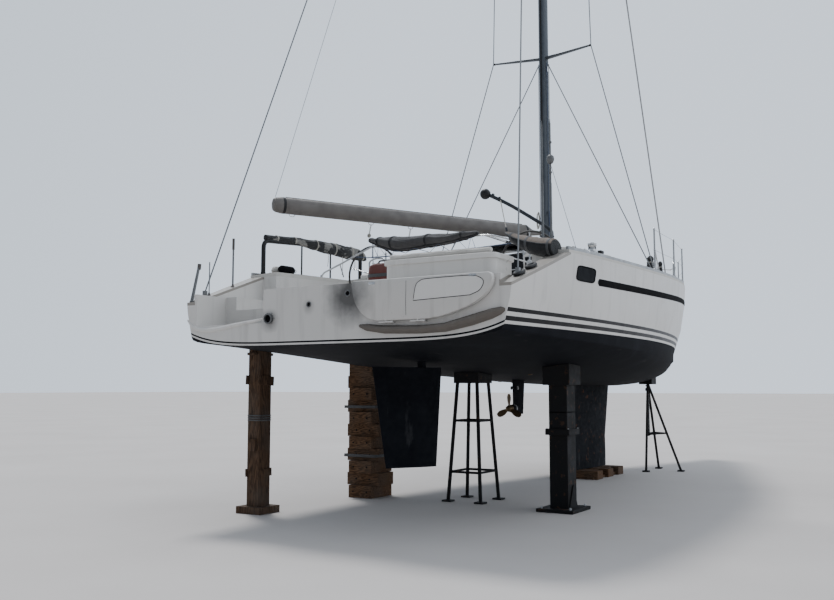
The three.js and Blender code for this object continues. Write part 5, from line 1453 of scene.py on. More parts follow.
        maker = Maker()
        zigzag = []
        for i, row in enumerate(rows[4:-5:2]):
            y, t, z, long, tall = row
            low = z - 0.95 * tall if i % 2 else 3.44 + 0.02 * math.sin(3 * y)
            zigzag.append(at(t - 0.6 * long * (i % 2), y, low))
        maker.tube(zigzag, 0.004, 6)
        bar = [at(2.16, rows[4][0], 3.438), at(2.14, 0.1, 3.425), at(2.17, rows[-6][0], 3.436)]
        maker.tube(smooth_path(bar, 8), 0.008, 8)
        for end in (bar[0], bar[-1]):
            side = math.copysign(1.0, end.y)
            maker.tube([end, at(2.3, side * 1.3, 3.49)], 0.006, 8)
        yard.put("bimini_lacing", maker.mesh("bimini_lacing"), [Finishes.BLUE_ROPE])

    def quarter(self, yard: Yard) -> None:
        """Makes the port quarter rail, and the cloth bundle lashed along it."""
        maker = Maker()
        maker.tube(rounded([at(t, self.rail_y, z) for t, z in self.rail], 0.11, 8), 0.032, 18)
        for t, z in self.rail_posts:
            maker.tube([at(t, self.rail_y, 3.12), at(t, self.rail_y, z)], 0.0125, 12)
        for t in (1.45, 2.31, 3.02, 3.83):
            radius = 0.032 if t in (1.45, 3.83) else 0.0125
            foot = at(t, self.rail_y, self.form.crown(t, self.rail_y) - 0.002)
            maker.lathe([(radius + 0.022, 0), (radius + 0.022, 0.006), (radius + 0.005, 0.014), (radius + 0.003, 0.05),
                         (radius - 0.001, 0.052)], foot, sides=20)
        yard.put("quarter_rail", maker.mesh("quarter_rail"), [Finishes.BLACK], replaces=["pushpit_port"])

        rows = eased(self.bundle, 10)
        lashings = (1.75, 2.16, 2.66, 3.12, 3.55, 3.86)
        maker = Maker()
        rings = []
        for t, z, wide, tall in rows:
            pinch = min(1.0, 0.82 + min(abs(t - s) for s in lashings) / 0.35)
            ring = []
            for a in turns(30):
                fold = 1 + 0.05 * math.sin(3 * a + 7 * t) + 0.04 * math.sin(7 * a - 13 * t)
                fold += 0.02 * math.sin(41 * t + 2 * a)
                ring.append(at(t, self.rail_y + wide * pinch * fold * math.cos(a),
                               z + tall * pinch * fold * math.sin(a)))
            rings.append(ring)
        maker.loft(rings)
        ties = [t - KEEL_STATION for t in (1.5, *lashings, 3.96)]
        roll = yard.put("rail_bundle", Stuffing(0, ties).swell(maker.mesh("rail_bundle", 60)), [Finishes.PATCHED],
                        replaces=["rail_roll_port"])
        maker = Maker()
        for s in lashings:
            t, z, wide, tall = min(rows, key=lambda row: abs(row[0] - s))
            for shift in (-0.008, 0.006):
                loop = [at(t + shift, self.rail_y + (0.85 * wide + 0.006) * math.cos(a),
                           z + (0.85 * tall + 0.006) * math.sin(a))
                        for a in turns(22)]
                maker.hoop(loop, 0.005, 6)
        for s, drop in ((2.9, 0.22), (3.3, 0.3), (3.62, 0.2)):
            t, z, wide, tall = min(rows, key=lambda row: abs(row[0] - s))
            start = at(t, self.rail_y - 0.5 * wide, z - 0.8 * tall)
            maker.tube(smooth_path([start, start + Vector((0.02, 0.01, -0.5 * drop)),
                                    start + Vector((-0.01, 0, -drop))], 6),
                       0.005, 6)
        yard.put("bundle_lashings", maker.mesh("bundle_lashings"), [Finishes.ROPE])

    def wing_poles(self, yard: Yard) -> None:
        """Makes the fishing-rod holders and staffs that stand on the port wing."""
        maker = Maker()
        maker.tube([at(0.04, 2.215, wing(0.04)), at(0.16, 2.215, 3.19)], [0.021, 0.017], 12)
        maker.lathe([(0.03, 0), (0.03, 0.008), (0.021, 0.02)], at(0.045, 2.215, wing(0.045) - 0.002), sides=16)
        maker.tube([at(0.35, 2.22, wing(0.35)), at(0.35, 2.22, 3.25)], 0.007, 8)
        maker.tube([at(0.79, 2.22, wing(0.79)), at(0.79, 2.22, 3.5)], 0.012, 12)
        maker.layer = 1
        maker.tube([at(0.79, 2.22, 3.47), at(0.79, 2.22, 3.62)], 0.017, 12)
        maker.tube([at(0.155, 2.215, 3.13), at(0.163, 2.215, 3.2)], 0.024, 12)
        for t in (0.35, 0.79):
            maker.lathe([(0.028, 0), (0.028, 0.006), (0.014, 0.02), (0.012, 0.04)], at(t, 2.22, wing(t) - 0.004),
                        sides=16)
        yard.put("wing_staffs", maker.mesh("wing_staffs"), [Finishes.ALLOY_DARK, Finishes.STAFF])


@dataclass
class Cockpit:
    """The helms, the winches, the benches' trim, the gratings and the companionway gear."""

    form: HullForm
    wheel_t: float = 2.7
    wheel_y: float = 1.25
    wheel_z: float = 3.27
    radius: float = 0.42
    sole: float = 2.62
    seat: float = 3.02

    def build(self, yard: Yard) -> None:
        """Makes the gear on both sides."""
        for side, name in BOTH:
            yard.put("wheel_" + name, self.wheel(side), [Finishes.STEEL, Finishes.LEATHER], "helm_" + name,
                     ["helm_wheel_" + name])
            yard.put("helm_console_" + name, self.console(side),
                     [Finishes.MOULDING, Finishes.BLACK, Finishes.GLAZING, Finishes.STEEL])
            yard.put("sheet_winch_" + name, self.winch(side), [Finishes.STEEL, Finishes.BLACK],
                     replaces=["winch_" + name])
        self.gratings(yard)
        yard.put("cockpit_fittings", self.fittings(), [Finishes.STEEL, Finishes.BLACK])
        roll = Stuffing(1, (-1.79, -1.47, -1.15, -0.83, -0.51), reach=0.01, cap=0.008).swell(self.cushion(), 0.007)
        yard.put("helm_cushion", roll, [Finishes.CANVAS])
        valise = Stuffing(2, (2.63, 2.78, 2.99, 3.14), cap=0.012).swell(self.valise())
        yard.put("raft_valise", valise, [Finishes.RED_CLOTH])
        yard.put("valise_straps", self.valise_straps(), [Finishes.WEBBING])

    def wheel(self, side: int) -> Mesh:
        """Returns a wheel: a leathered rim, five tapered spokes and a domed hub."""
        maker = Maker()
        centre = at(self.wheel_t, side * self.wheel_y, self.wheel_z)
        maker.layer = 1
        maker.hoop([centre + Vector((0, self.radius * math.sin(a), self.radius * math.cos(a)))
                    for a in turns(72)], 0.0145, 12)
        maker.layer = 0
        for a in turns(5):
            way = Vector((0, math.sin(a), math.cos(a)))
            maker.tube([centre + 0.03 * way, centre + 0.2 * way + Vector((0.004, 0, 0)),
                        centre + (self.radius - 0.01) * way],
                       [0.0105, 0.008, 0.0065], 12)
            maker.ball(centre + (self.radius - 0.016) * way, 0.014, sides=12)
        maker.lathe([(0.02, -0.03), (0.036, -0.026), (0.042, -0.012), (0.042, 0.03), (0.032, 0.038)], centre,
                    (1, 0, 0), 28)
        maker.lathe([(0.02, 0.0), (0.018, 0.006), (0.008, 0.009)], centre + Vector((-0.0295, 0, 0)), (-1, 0, 0), 20)
        return maker.mesh("wheel")

    def console(self, side: int) -> Mesh:
        """Returns the compass, the display, the grab rail and the engine lever on a pedestal."""
        maker = Maker()
        y, top = side * self.wheel_y, self.wheel_z + 0.12
        x = self.wheel_t + 0.14
        maker.layer = 1
        maker.lathe([(0.062, 0), (0.066, 0.012), (0.06, 0.026), (0.05, 0.03)], at(x, y, top - 0.001), sides=28)
        maker.layer = 2
        maker.lathe([(0.049, 0.0), (0.046, 0.018), (0.034, 0.034), (0.014, 0.043)], at(x, y, top + 0.028), sides=24)
        maker.layer = 1
        place = Matrix.Translation(at(self.wheel_t + 0.058, y, self.wheel_z + 0.03)) @ facing((-1, 0, 0.0))
        maker.block((0.12, 0.19, 0.014), place, 0.006)
        maker.layer = 2
        maker.block((0.09, 0.155, 0.004), Matrix.Translation((-0.008, 0, 0)) @ place, 0.0015)
        maker.layer = 3
        rail = [at(x - 0.03, y - 0.13, top - 0.12), at(x - 0.03, y - 0.14, top + 0.1), at(x, y - 0.06, top + 0.14),
                at(x, y + 0.06, top + 0.14), at(x - 0.03, y + 0.14, top + 0.1), at(x - 0.03, y + 0.13, top - 0.12)]
        maker.tube(rounded(rail, 0.06, 6), 0.0125, 12)
        if side < 0:
            maker.tube([at(x - 0.01, y - 0.125, top - 0.1), at(x - 0.05, y - 0.17, top - 0.02),
                        at(x - 0.06, y - 0.175, top + 0.05)], [0.012, 0.008, 0.008], 10)
            maker.ball(at(x - 0.06, y - 0.175, top + 0.06), 0.016, sides=14)
        maker.layer = 0
        maker.lathe([(0.118, 0.0), (0.116, 0.012), (0.1, 0.022)], at(self.wheel_t + 0.17, y, self.sole + 0.0005),
                    sides=28)
        return maker.mesh("helm_console")

    def winch(self, side: int) -> Mesh:
        """Returns a self-tailing winch with a ribbed drum."""
        maker = Maker()
        spot = at(4.0, side * 1.64, self.form.crown(4.0) + 0.1958)
        maker.lathe([(0.078, 0), (0.0782, 0.018), (0.07, 0.026), (0.062, 0.034), (0.053, 0.05), (0.051, 0.07),
                     (0.053, 0.088), (0.06, 0.1), (0.064, 0.106)], spot, sides=40)
        maker.lathe([(0.06, 0.1065), (0.066, 0.11), (0.0605, 0.117), (0.0605, 0.122), (0.066, 0.129), (0.064, 0.136),
                     (0.045, 0.142), (0.026, 0.144)], spot, sides=40)
        maker.layer = 1
        maker.lathe([(0.026, 0.1435), (0.026, 0.149), (0.012, 0.15)], spot, sides=24)
        for a in turns(20):
            maker.block((0.005, 0.0035, 0.045), Matrix.Translation(spot) @ Matrix.Rotation(a, 4, "Z")
                        @ Matrix.Translation((0.053, 0, 0.07)), 0.001, 1)
        maker.block((0.052, 0.012, 0.006), Matrix.Translation(spot + Vector((0.045, 0.02, 0.138))), 0.002)
        return maker.mesh("sheet_winch")

    def gratings(self, yard: Yard) -> None:
        """Lays the teak slats on the benches and on the sole's port half."""
        tree = Grower.stamps(Stamp.BAR)
        spots = [at(t, inner + 0.058 * i, self.sole + 0.0045)
                 for t, inner in ((2.3, 0.16), (3.85, 0.035)) for i in range(12)]
        yard.grow("sole_slats", tree, spots, {"Width": 1.25, "Length": 0.05, "Height": 0.009}, Finishes.TEAK,
                  ways=[(0, 0, 1)] * len(spots))
        benches = [at(3.14, side * (0.94 + 0.058 * i), self.seat + 0.0045) for side in (1, -1) for i in range(10)]
        yard.grow("bench_slats", tree, benches, {"Width": 0.24, "Length": 0.05, "Height": 0.009}, Finishes.TEAK,
                  ways=[(0, 0, 1)] * len(benches))

    def fittings(self) -> Mesh:
        """Returns the backstay chainplates, drains, padeyes, locker latches and the companionway's grab bars."""
        maker = Maker()
        for side in (1, -1):
            for t in (1.7, 2.9):
                maker.lathe([(0.03, -0.001), (0.03, 0.003), (0.02, 0.005)], at(t, side * 1.82, self.sole), sides=18)
            maker.plate(oblong(0.07, 0.034, 0.012), 0.004, lying(3.8, side * 1.035, self.seat + 0.0305), 0.001)
            maker.tube(rounded([at(4.592, side * 0.43, 3.2), at(4.54, side * 0.43, 3.21), at(4.54, side * 0.43, 3.56),
                                at(4.592, side * 0.43, 3.57)], 0.04, 6), 0.011, 12)
            for t in (3.3, 3.55):
                place = at(t, side * 1.64, self.form.crown(3.5) + 0.16)
                maker.block((0.07, 0.03, 0.012), place + Vector((0, 0, 0.05)), 0.004)
            maker.layer = 1
            maker.block((0.12, 0.07, 0.05), lying(4.36, side * 1.635, self.form.crown(4.5) + 0.235), 0.014)
            maker.layer = 0
        return maker.mesh("cockpit_fittings")

    def valise(self) -> Mesh:
        """Returns the soft case stowed on the sole abaft the wheels."""
        maker = Maker()
        rows = [(2.625, 0.28, 0.17), (2.64, 0.36, 0.25), (2.7, 0.38, 0.27), (2.88, 0.385, 0.275), (3.06, 0.375, 0.265),
                (3.12, 0.35, 0.24), (3.145, 0.26, 0.15)]
        maker.loft([[at(1.02 + x, -0.06 + y, z) for x, y in oblong(wide, long, 0.08, 5)]
                    for z, long, wide in eased(rows, 3)])
        return maker.mesh("raft_valise", 60)

    def valise_straps(self) -> Mesh:
        """Returns the two straps and the carrying handle of the case."""
        web = ((0.985, -0.02), (1.01, -0.02), (1.01, 0.02), (0.985, 0.02))
        maker = Maker()
        for z in (2.78, 2.99):
            loop = oblong(0.284, 0.394, 0.085, 5)
            maker.loft([[at(1.02 + x * k, -0.06 + y * k, z + h) for k, h in web] for x, y in [*loop, loop[0]]],
                       caps=False)
        maker.tube(rounded([at(1.02, -0.16, 3.14), at(1.02, -0.14, 3.185), at(1.02, 0.02, 3.185), at(1.02, 0.04, 3.14)],
                           0.03, 5), 0.011, 10)
        return maker.mesh("valise_straps")

    def cushion(self) -> Mesh:
        """Returns the low backrest roll along the starboard helm bench."""
        maker = Maker()
        rows = [(-1.8, 0.02), (-1.78, 0.034), (-1.6, 0.038), (-1.15, 0.039), (-0.7, 0.038), (-0.52, 0.034),
                (-0.5, 0.02)]
        rings = []
        for y, radius in eased(rows, 4):
            rings.append([at(0.47 + radius * math.cos(a), y, 3.115 + radius * math.sin(a) * 0.9) for a in turns(16)])
        maker.loft(rings)
        return maker.mesh("helm_cushion", 60)


@dataclass
class DeckGear:
    """Hatches' rims, handrails, tracks, cleats, clutches, vents, windlass and chainplates."""

    form: HullForm
    cleats: Points = ((1.76, 2.3), (7.6, 1.86), (12.0, 0.6))

    def build(self, yard: Yard) -> None:
        """Makes the gear."""
        yard.put("deck_cleats", self.cleat_rows(), [Finishes.BLACK])
        yard.put("handrails", self.handrails(), [Finishes.STEEL])
        yard.put("jib_tracks", self.tracks(), [Finishes.BLACK, Finishes.STEEL])
        yard.put("rope_clutches", self.clutches(), [Finishes.BLACK, Finishes.STEEL, Finishes.ROPE, Finishes.BLUE_ROPE])
        yard.put("deck_vents", self.vents(), [Finishes.STEEL, Finishes.MOULDING])
        yard.put("windlass", self.windlass(), [Finishes.ALLOY, Finishes.BLACK])
        self.stowed(yard)
        yard.put("fenders", self.fenders(), [Finishes.FENDER, Finishes.ROPE, Finishes.RUBBER])
        self.hatch_trim(yard)
        self.screws(yard)

    def cleat_rows(self) -> Mesh:
        """Returns the mooring cleats, and the bolts and fairleads of the starboard quarter."""
        maker = Maker()
        for side in (1, -1):
            for t, y in self.cleats:
                z = self.form.crown(t, y)
                for shift in (-0.035, 0.035):
                    maker.lathe([(0.017, -0.002), (0.012, 0.008), (0.01, 0.034)], at(t + shift, side * y, z), sides=12)
                bar = [at(t + u, side * y, z + h) for u, h in ((-0.125, 0.05), (-0.07, 0.04), (0, 0.04), (0.07, 0.04),
                                                              (0.125, 0.05))]
                maker.tube(smooth_path(bar, 3), [0.007 + 0.005 * math.sin(math.pi * i / 12) for i in range(13)], 12)
        for t in (2.06, 3.28):
            maker.lathe([(0.03, 0), (0.03, 0.01), (0.02, 0.03), (0.022, 0.05), (0.012, 0.058)],
                        at(t, -2.27, self.form.crown(t, 2.27)), sides=18)
        for t in (0.3, 0.6):
            loop = [at(t + 0.085 * math.cos(a), -2.2 + 0.036 * math.sin(a), wing(t) + 0.022 + 0.03 * math.cos(a))
                    for a in turns(24)]
            maker.hoop(loop, 0.02, 10)
        return maker.mesh("deck_cleats")

    def handrails(self) -> Mesh:
        """Returns the rails along the coachroof."""
        maker = Maker()
        for side in (1, -1):
            path = []
            for t in (5.4, 6.2, 7.0, 7.8):
                _, half, height = self.form.roof_row(t)
                y, z = half - 0.25, self.form.sheer(t) + DECK_EDGE + height - 0.002
                path.append(at(t, side * y, z + 0.068))
                maker.tube([at(t, side * y, z - 0.03), at(t, side * y, z + 0.064)], 0.01, 10)
                maker.lathe([(0.022, -0.01), (0.022, 0.01), (0.012, 0.018)], at(t, side * y, z - 0.004), sides=14)
            maker.tube(smooth_path(path, 4), 0.0125, 12)
        return maker.mesh("handrails")

    def tracks(self) -> Mesh:
        """Returns the jib sheet tracks with their cars."""
        aft, fore, y = 4.9, 7.1, 1.48
        rail = ((-0.016, -0.004), (-0.016, 0.012), (-0.008, 0.02), (0.008, 0.02), (0.016, 0.012), (0.016, -0.004))
        maker = Maker()
        for side in (1, -1):
            maker.layer = 0
            steps = [aft + (fore - aft) * i / 14 for i in range(15)]
            maker.loft([[at(t, side * (y - 0.1 * (t - aft)) + o, self.form.crown(t, y) + h) for o, h in rail]
                        for t in steps])
            t = 6.1
            place = lying(t, side * (y - 0.12), self.form.crown(t, y) + 0.045, -side * 6)
            maker.layer = 1
            maker.block((0.13, 0.05, 0.034), place, 0.01)
            maker.lathe([(0.02, -0.016), (0.03, -0.012), (0.022, 0), (0.03, 0.012), (0.02, 0.016)],
                        place @ Vector((0, 0, 0.05)), (0, 1, 0), 20)
        return maker.mesh("jib_tracks")

    def clutches(self) -> Mesh:
        """Returns the rope clutches beside the companionway, with their lines led aft."""
        maker = Maker()
        for side in (1, -1):
            for k in range(3):
                y = side * (0.52 + 0.062 * k)
                z = self.form.sheer(4.9) + DECK_EDGE + self.form.roof_row(4.9)[2] + 0.068 - 0.085 * (abs(y) / 1.04)
                maker.layer = 0
                maker.block((0.2, 0.05, 0.05), lying(4.86, y, z + 0.018), 0.012)
                maker.block((0.1, 0.03, 0.016), lying(4.82, y, z + 0.05), 0.006)
                maker.layer = 2 + (k + (side > 0)) % 2
                path = [at(4.7, y, z + 0.01), at(5.1, y, z + 0.01), at(5.6, side * (0.46 + 0.03 * k), z + 0.022),
                        at(6.02, side * (0.16 + 0.02 * k), self.form.roof_top(6.02) + 0.012)]
                maker.tube(smooth_path(path, 5), 0.0055, 8)
        return maker.mesh("rope_clutches")

    def vents(self) -> Mesh:
        """Returns the domed vents, the deck fillers and the chainplate covers."""
        maker = Maker()
        for side in (1, -1):
            t, y = 8.95, 0.45
            z = self.form.sheer(t) + DECK_EDGE + self.form.roof_row(t)[2] + 0.03
            maker.lathe([(0.07, -0.02), (0.07, 0.008), (0.06, 0.014), (0.058, 0.03), (0.085, 0.034), (0.08, 0.048),
                         (0.04, 0.06)], at(t, side * y, z), sides=28)
            maker.lathe([(0.042, -0.002), (0.042, 0.004), (0.03, 0.006)],
                        at(4.95, side * 1.9, self.form.crown(4.95, 1.9)), sides=20)
            t, y = 5.75, 2.04
            maker.plate(oblong(0.16, 0.08, 0.02), 0.005, lying(t, side * y, self.form.crown(t, y) - 0.001), 0.0015)
            for dt in (0.0, -0.02):
                foot = at(t + dt, side * y, self.form.crown(t, y) + 0.12)
                maker.lathe([(0.006, 0), (0.0125, 0.01), (0.0125, 0.1), (0.006, 0.11), (0.006, 0.16), (0.0125, 0.17),
                             (0.0125, 0.25), (0.006, 0.26)], foot, (-0.01 + 0.1 * dt, -0.03 * side, 1), 14)
        return maker.mesh("deck_vents")

    def fenders(self) -> Mesh:
        """Returns the two short fenders stowed against the port quarter rail."""
        maker = Maker()
        for k, (t, y, way) in enumerate(((1.5, 2.13, (1, 0.03, 0.05)), (1.47, 1.99, (1, -0.08, 0.0)))):
            maker.layer = 2 * k
            foot = at(t, y, self.form.crown(t, y) + 0.062)
            maker.lathe([(0.011, -0.02), (0.019, -0.006), (0.036, 0.008), (0.056, 0.036), (0.059, 0.07), (0.059, 0.22),
                         (0.056, 0.255), (0.036, 0.283), (0.019, 0.297), (0.011, 0.31)], foot, way, 28)
            maker.layer = 1
            eye = foot + 0.32 * Vector(way).normalized()
            maker.hoop([eye + Vector((0.02 * math.cos(a), 0.0, 0.02 * math.sin(a))) for a in turns(16)], 0.005, 8)
        return maker.mesh("fenders")

    def windlass(self) -> Mesh:
        """Returns the windlass with its gypsy and drum on the foredeck."""
        maker = Maker()
        t = 12.55
        z = self.form.crown(t)
        maker.plate(oblong(0.3, 0.2, 0.05), 0.02, lying(t, 0, z - 0.002), 0.006)
        maker.lathe([(0.07, 0), (0.075, 0.02), (0.06, 0.035), (0.06, 0.045), (0.075, 0.06), (0.06, 0.078), (0.045, 0.1),
                     (0.05, 0.13), (0.055, 0.15), (0.03, 0.155)], at(t, 0, z + 0.017), sides=28)
        maker.layer = 1
        for y in (0.14, 0.04):
            maker.lathe([(0.03, 0), (0.03, 0.01), (0.02, 0.016)], at(t - 0.28, y, z), sides=18)
        return maker.mesh("windlass")

    def stowed(self, yard: Yard) -> None:
        """Makes the covered bundles lashed upright at the fore rail."""
        for k, (t, y, high, radius) in enumerate(((10.55, -0.5, 4.41, 0.088), (11.6, -0.4, 4.42, 0.065))):
            low = self.form.crown(t, y) + 0.004
            tall = high - low
            rows = [(0.0, 0.6), (0.06, 0.95), (0.32, 1.0), (0.45, 0.8), (0.62, 0.98), (0.8, 0.78), (0.93, 0.8),
                    (1.0, 0.35)]
            rings, maker, ties = [], Maker(), [low + share * tall for share in (0.02, 0.45, 0.8)]
            for share, wide in eased(rows, 4):
                mid, reach, z = t + 0.05 * share, radius * wide, low + share * tall
                rings.append([at(mid + reach * math.cos(a) * (1 + 0.06 * math.sin(5 * a + 12 * share)),
                                 y + reach * math.sin(a), z) for a in turns(20)])
            maker.loft(rings)
            bag = Stuffing(2, ties).swell(maker.mesh("foredeck_stow", 60), 0.008)
            name = "foredeck_stow_" + ("aft", "fore")[k]
            yard.put(name, bag, [Finishes.CLOTH])
            lash = Maker()
            for share in (0.45, 0.8):
                loop = [at(t + 0.05 * share + (0.8 * radius + 0.005) * math.cos(a),
                           y + (0.8 * radius + 0.005) * math.sin(a), low + share * tall) for a in turns(20)]
                lash.hoop(loop, 0.006, 8)
            yard.put(name + "_lashing", lash.mesh("lashing"), [Finishes.ROPE])

    def hatch_trim(self, yard: Yard) -> None:
        """Rims the hatches and fits their handles, on the lids."""
        for node, body, t in (("fore_hatch", "fore_hatch_lid", 10.6), ("coachroof_hatch", "roof_hatch_lid", 8.3)):
            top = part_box(node)[1][2]
            half = 0.28 if node == "fore_hatch" else 0.27
            lift = top - 0.012
            maker = Maker()
            loop = [at(t + x, y, lift) for x, y in oblong(2 * half - 0.01, 2 * half - 0.01, 0.05, 6)]
            maker.hoop(loop, 0.0115, 10)
            maker.layer = 1
            for side in (1, -1):
                maker.block((0.05, 0.09, 0.012), at(t - half + 0.07, side * 0.14, lift + 0.01), 0.004)
                maker.lathe([(0.014, 0), (0.014, 0.01), (0.008, 0.014)],
                            at(t - half + 0.07, side * 0.14, lift + 0.008), sides=14)
            yard.put(node + "_rim", maker.mesh(node + "_rim"), [Finishes.ALLOY, Finishes.BLACK], body)
        maker = Maker()
        maker.tube(rounded([at(4.72, -0.12, 4.09), at(4.72, -0.12, 4.13), at(4.72, 0.12, 4.13), at(4.72, 0.12, 4.09)],
                           0.02, 5),
                   0.008, 10)
        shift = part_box("companion_slide")[1][2] - 4.09
        for vertex in maker.bm.verts:
            vertex.co.z += shift - 0.002
        yard.put("slide_handle", maker.mesh("slide_handle"), [Finishes.STEEL], "slide_hatch")
        maker = Maker()
        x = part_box("companion_door")[0][0]
        maker.lathe([(0.016, 0), (0.016, 0.008), (0.008, 0.014), (0.008, 0.03), (0.014, 0.034)],
                    Vector((x + 0.0005, 0.26, 3.32)), (-1, 0, 0), 16)
        for z in (3.06, 3.16, 3.26, 3.36, 3.46):
            maker.block((0.006, 0.34, 0.014), Vector((x - 0.001, -0.04, z)), 0.002)
        yard.put("door_louvres", maker.mesh("door_louvres"), [Finishes.STEEL], "cabin_door")

    def screws(self, yard: Yard) -> None:
        """Sets the bolt heads along both toe rails."""
        tree = Grower.stamps(Stamp.SCREW)
        spots = []
        for side in (1, -1):
            t = 1.45
            while t < 13.6:
                spots.append(at(t, side * (self.form.half(t) - 0.03), self.form.sheer(t) + DECK_EDGE + 0.0385))
                t += 0.2
        yard.grow("toe_rail_bolts", tree, spots, {"Width": 0.007, "Length": 0.005, "Height": 0.004}, Finishes.STEEL,
                  ways=[(0, 0, 1)] * len(spots))


@dataclass
class Rails:
    """The pulpit, the stanchions' bases and the lifelines."""

    form: HullForm
    posts: Sequence[float] = (4.7, 6.3, 7.9, 9.5, 11.1)
    top: float = 4.5

    def build(self, yard: Yard) -> None:
        """Makes the rails."""
        yard.put("bow_rail", self.pulpit(), [Finishes.STEEL], replaces=["pulpit"])
        yard.put("lifelines", self.lines(), [Finishes.WIRE])
        yard.put("stanchion_bases", self.bases(), [Finishes.STEEL])

    def pulpit(self) -> Mesh:
        """Returns the pulpit with rounded bends and feet."""
        maker = Maker()
        for side in (1, -1):
            foot = at(12.4, side * (self.form.half(12.4) - 0.075), self.form.sheer(12.4) + 0.04)
            knee = at(13.3, side * (self.form.half(13.3) - 0.075), self.form.sheer(13.3) + 0.04)
            maker.tube(rounded([foot, at(12.35, side * 0.5, self.top - 0.02), at(13.5, side * 0.23, self.top),
                                at(13.9, 0, self.top)], 0.14, 8), 0.015, 14)
            maker.tube([knee, at(13.38, side * 0.265, self.top - 0.006)], 0.0145, 14)
            maker.tube([at(12.373, side * 0.486, self.top - 0.3), at(13.35, side * 0.25, self.top - 0.29)], 0.012, 12)
            for spot in (foot, knee):
                maker.lathe([(0.034, -0.003), (0.034, 0.006), (0.019, 0.014), (0.018, 0.05), (0.0148, 0.052)], spot,
                            sides=20)
        maker.ball(at(13.9, 0, self.top), 0.0155, sides=14)
        return maker.mesh("bow_rail")

    def lines(self) -> Mesh:
        """Returns two lifelines a side, in legs that sag a little between the posts."""
        maker = Maker()
        for side in (1, -1):
            for share in (1.0, 0.52):
                stops = [at(t, side * (self.form.half(t) - 0.03), self.form.sheer(t) + DECK_EDGE + 0.625 * share)
                         for t in self.posts]
                stops.append(at(12.35 if share == 1.0 else 12.375, side * (0.5 if share == 1.0 else 0.486),
                                self.top - (0.03 if share == 1.0 else 0.3)))
                if side > 0:
                    stops.insert(0, at(3.83, 2.264, 3.7 if share == 1.0 else 3.42))
                for a, b in zip(stops, stops[1:]):
                    middle = a.lerp(b, 0.5) + Vector((0, 0, -0.006))
                    maker.tube(smooth_path([a, middle, b], 4), 0.0028, 6)
        return maker.mesh("lifelines")

    def bases(self) -> Mesh:
        """Returns the socket, the cap and the eyes of each stanchion, and the gate braces."""
        maker = Maker()
        for side in (1, -1):
            for t in self.posts:
                y = side * (self.form.half(t) - 0.03)
                z = self.form.sheer(t) + DECK_EDGE
                maker.lathe([(0.03, 0.036), (0.03, 0.044), (0.019, 0.052), (0.018, 0.1), (0.0135, 0.103)], at(t, y, z),
                            sides=18)
                maker.lathe([(0.0135, 0.632), (0.0145, 0.64), (0.008, 0.647)], at(t, y, z), sides=16)
                for h in (0.325, 0.625):
                    maker.lathe([(0.013, -0.008), (0.016, -0.006), (0.016, 0.006), (0.013, 0.008)], at(t, y, z + h),
                                sides=14)
            y = side * (self.form.half(4.7) - 0.03)
            z = self.form.sheer(4.7) + DECK_EDGE
            maker.tube([at(4.7, y, z + 0.36),
                        at(4.98, side * (self.form.half(4.98) - 0.036), self.form.sheer(4.98) + DECK_EDGE + 0.034)],
                       0.009, 10)
        return maker.mesh("stanchion_bases")


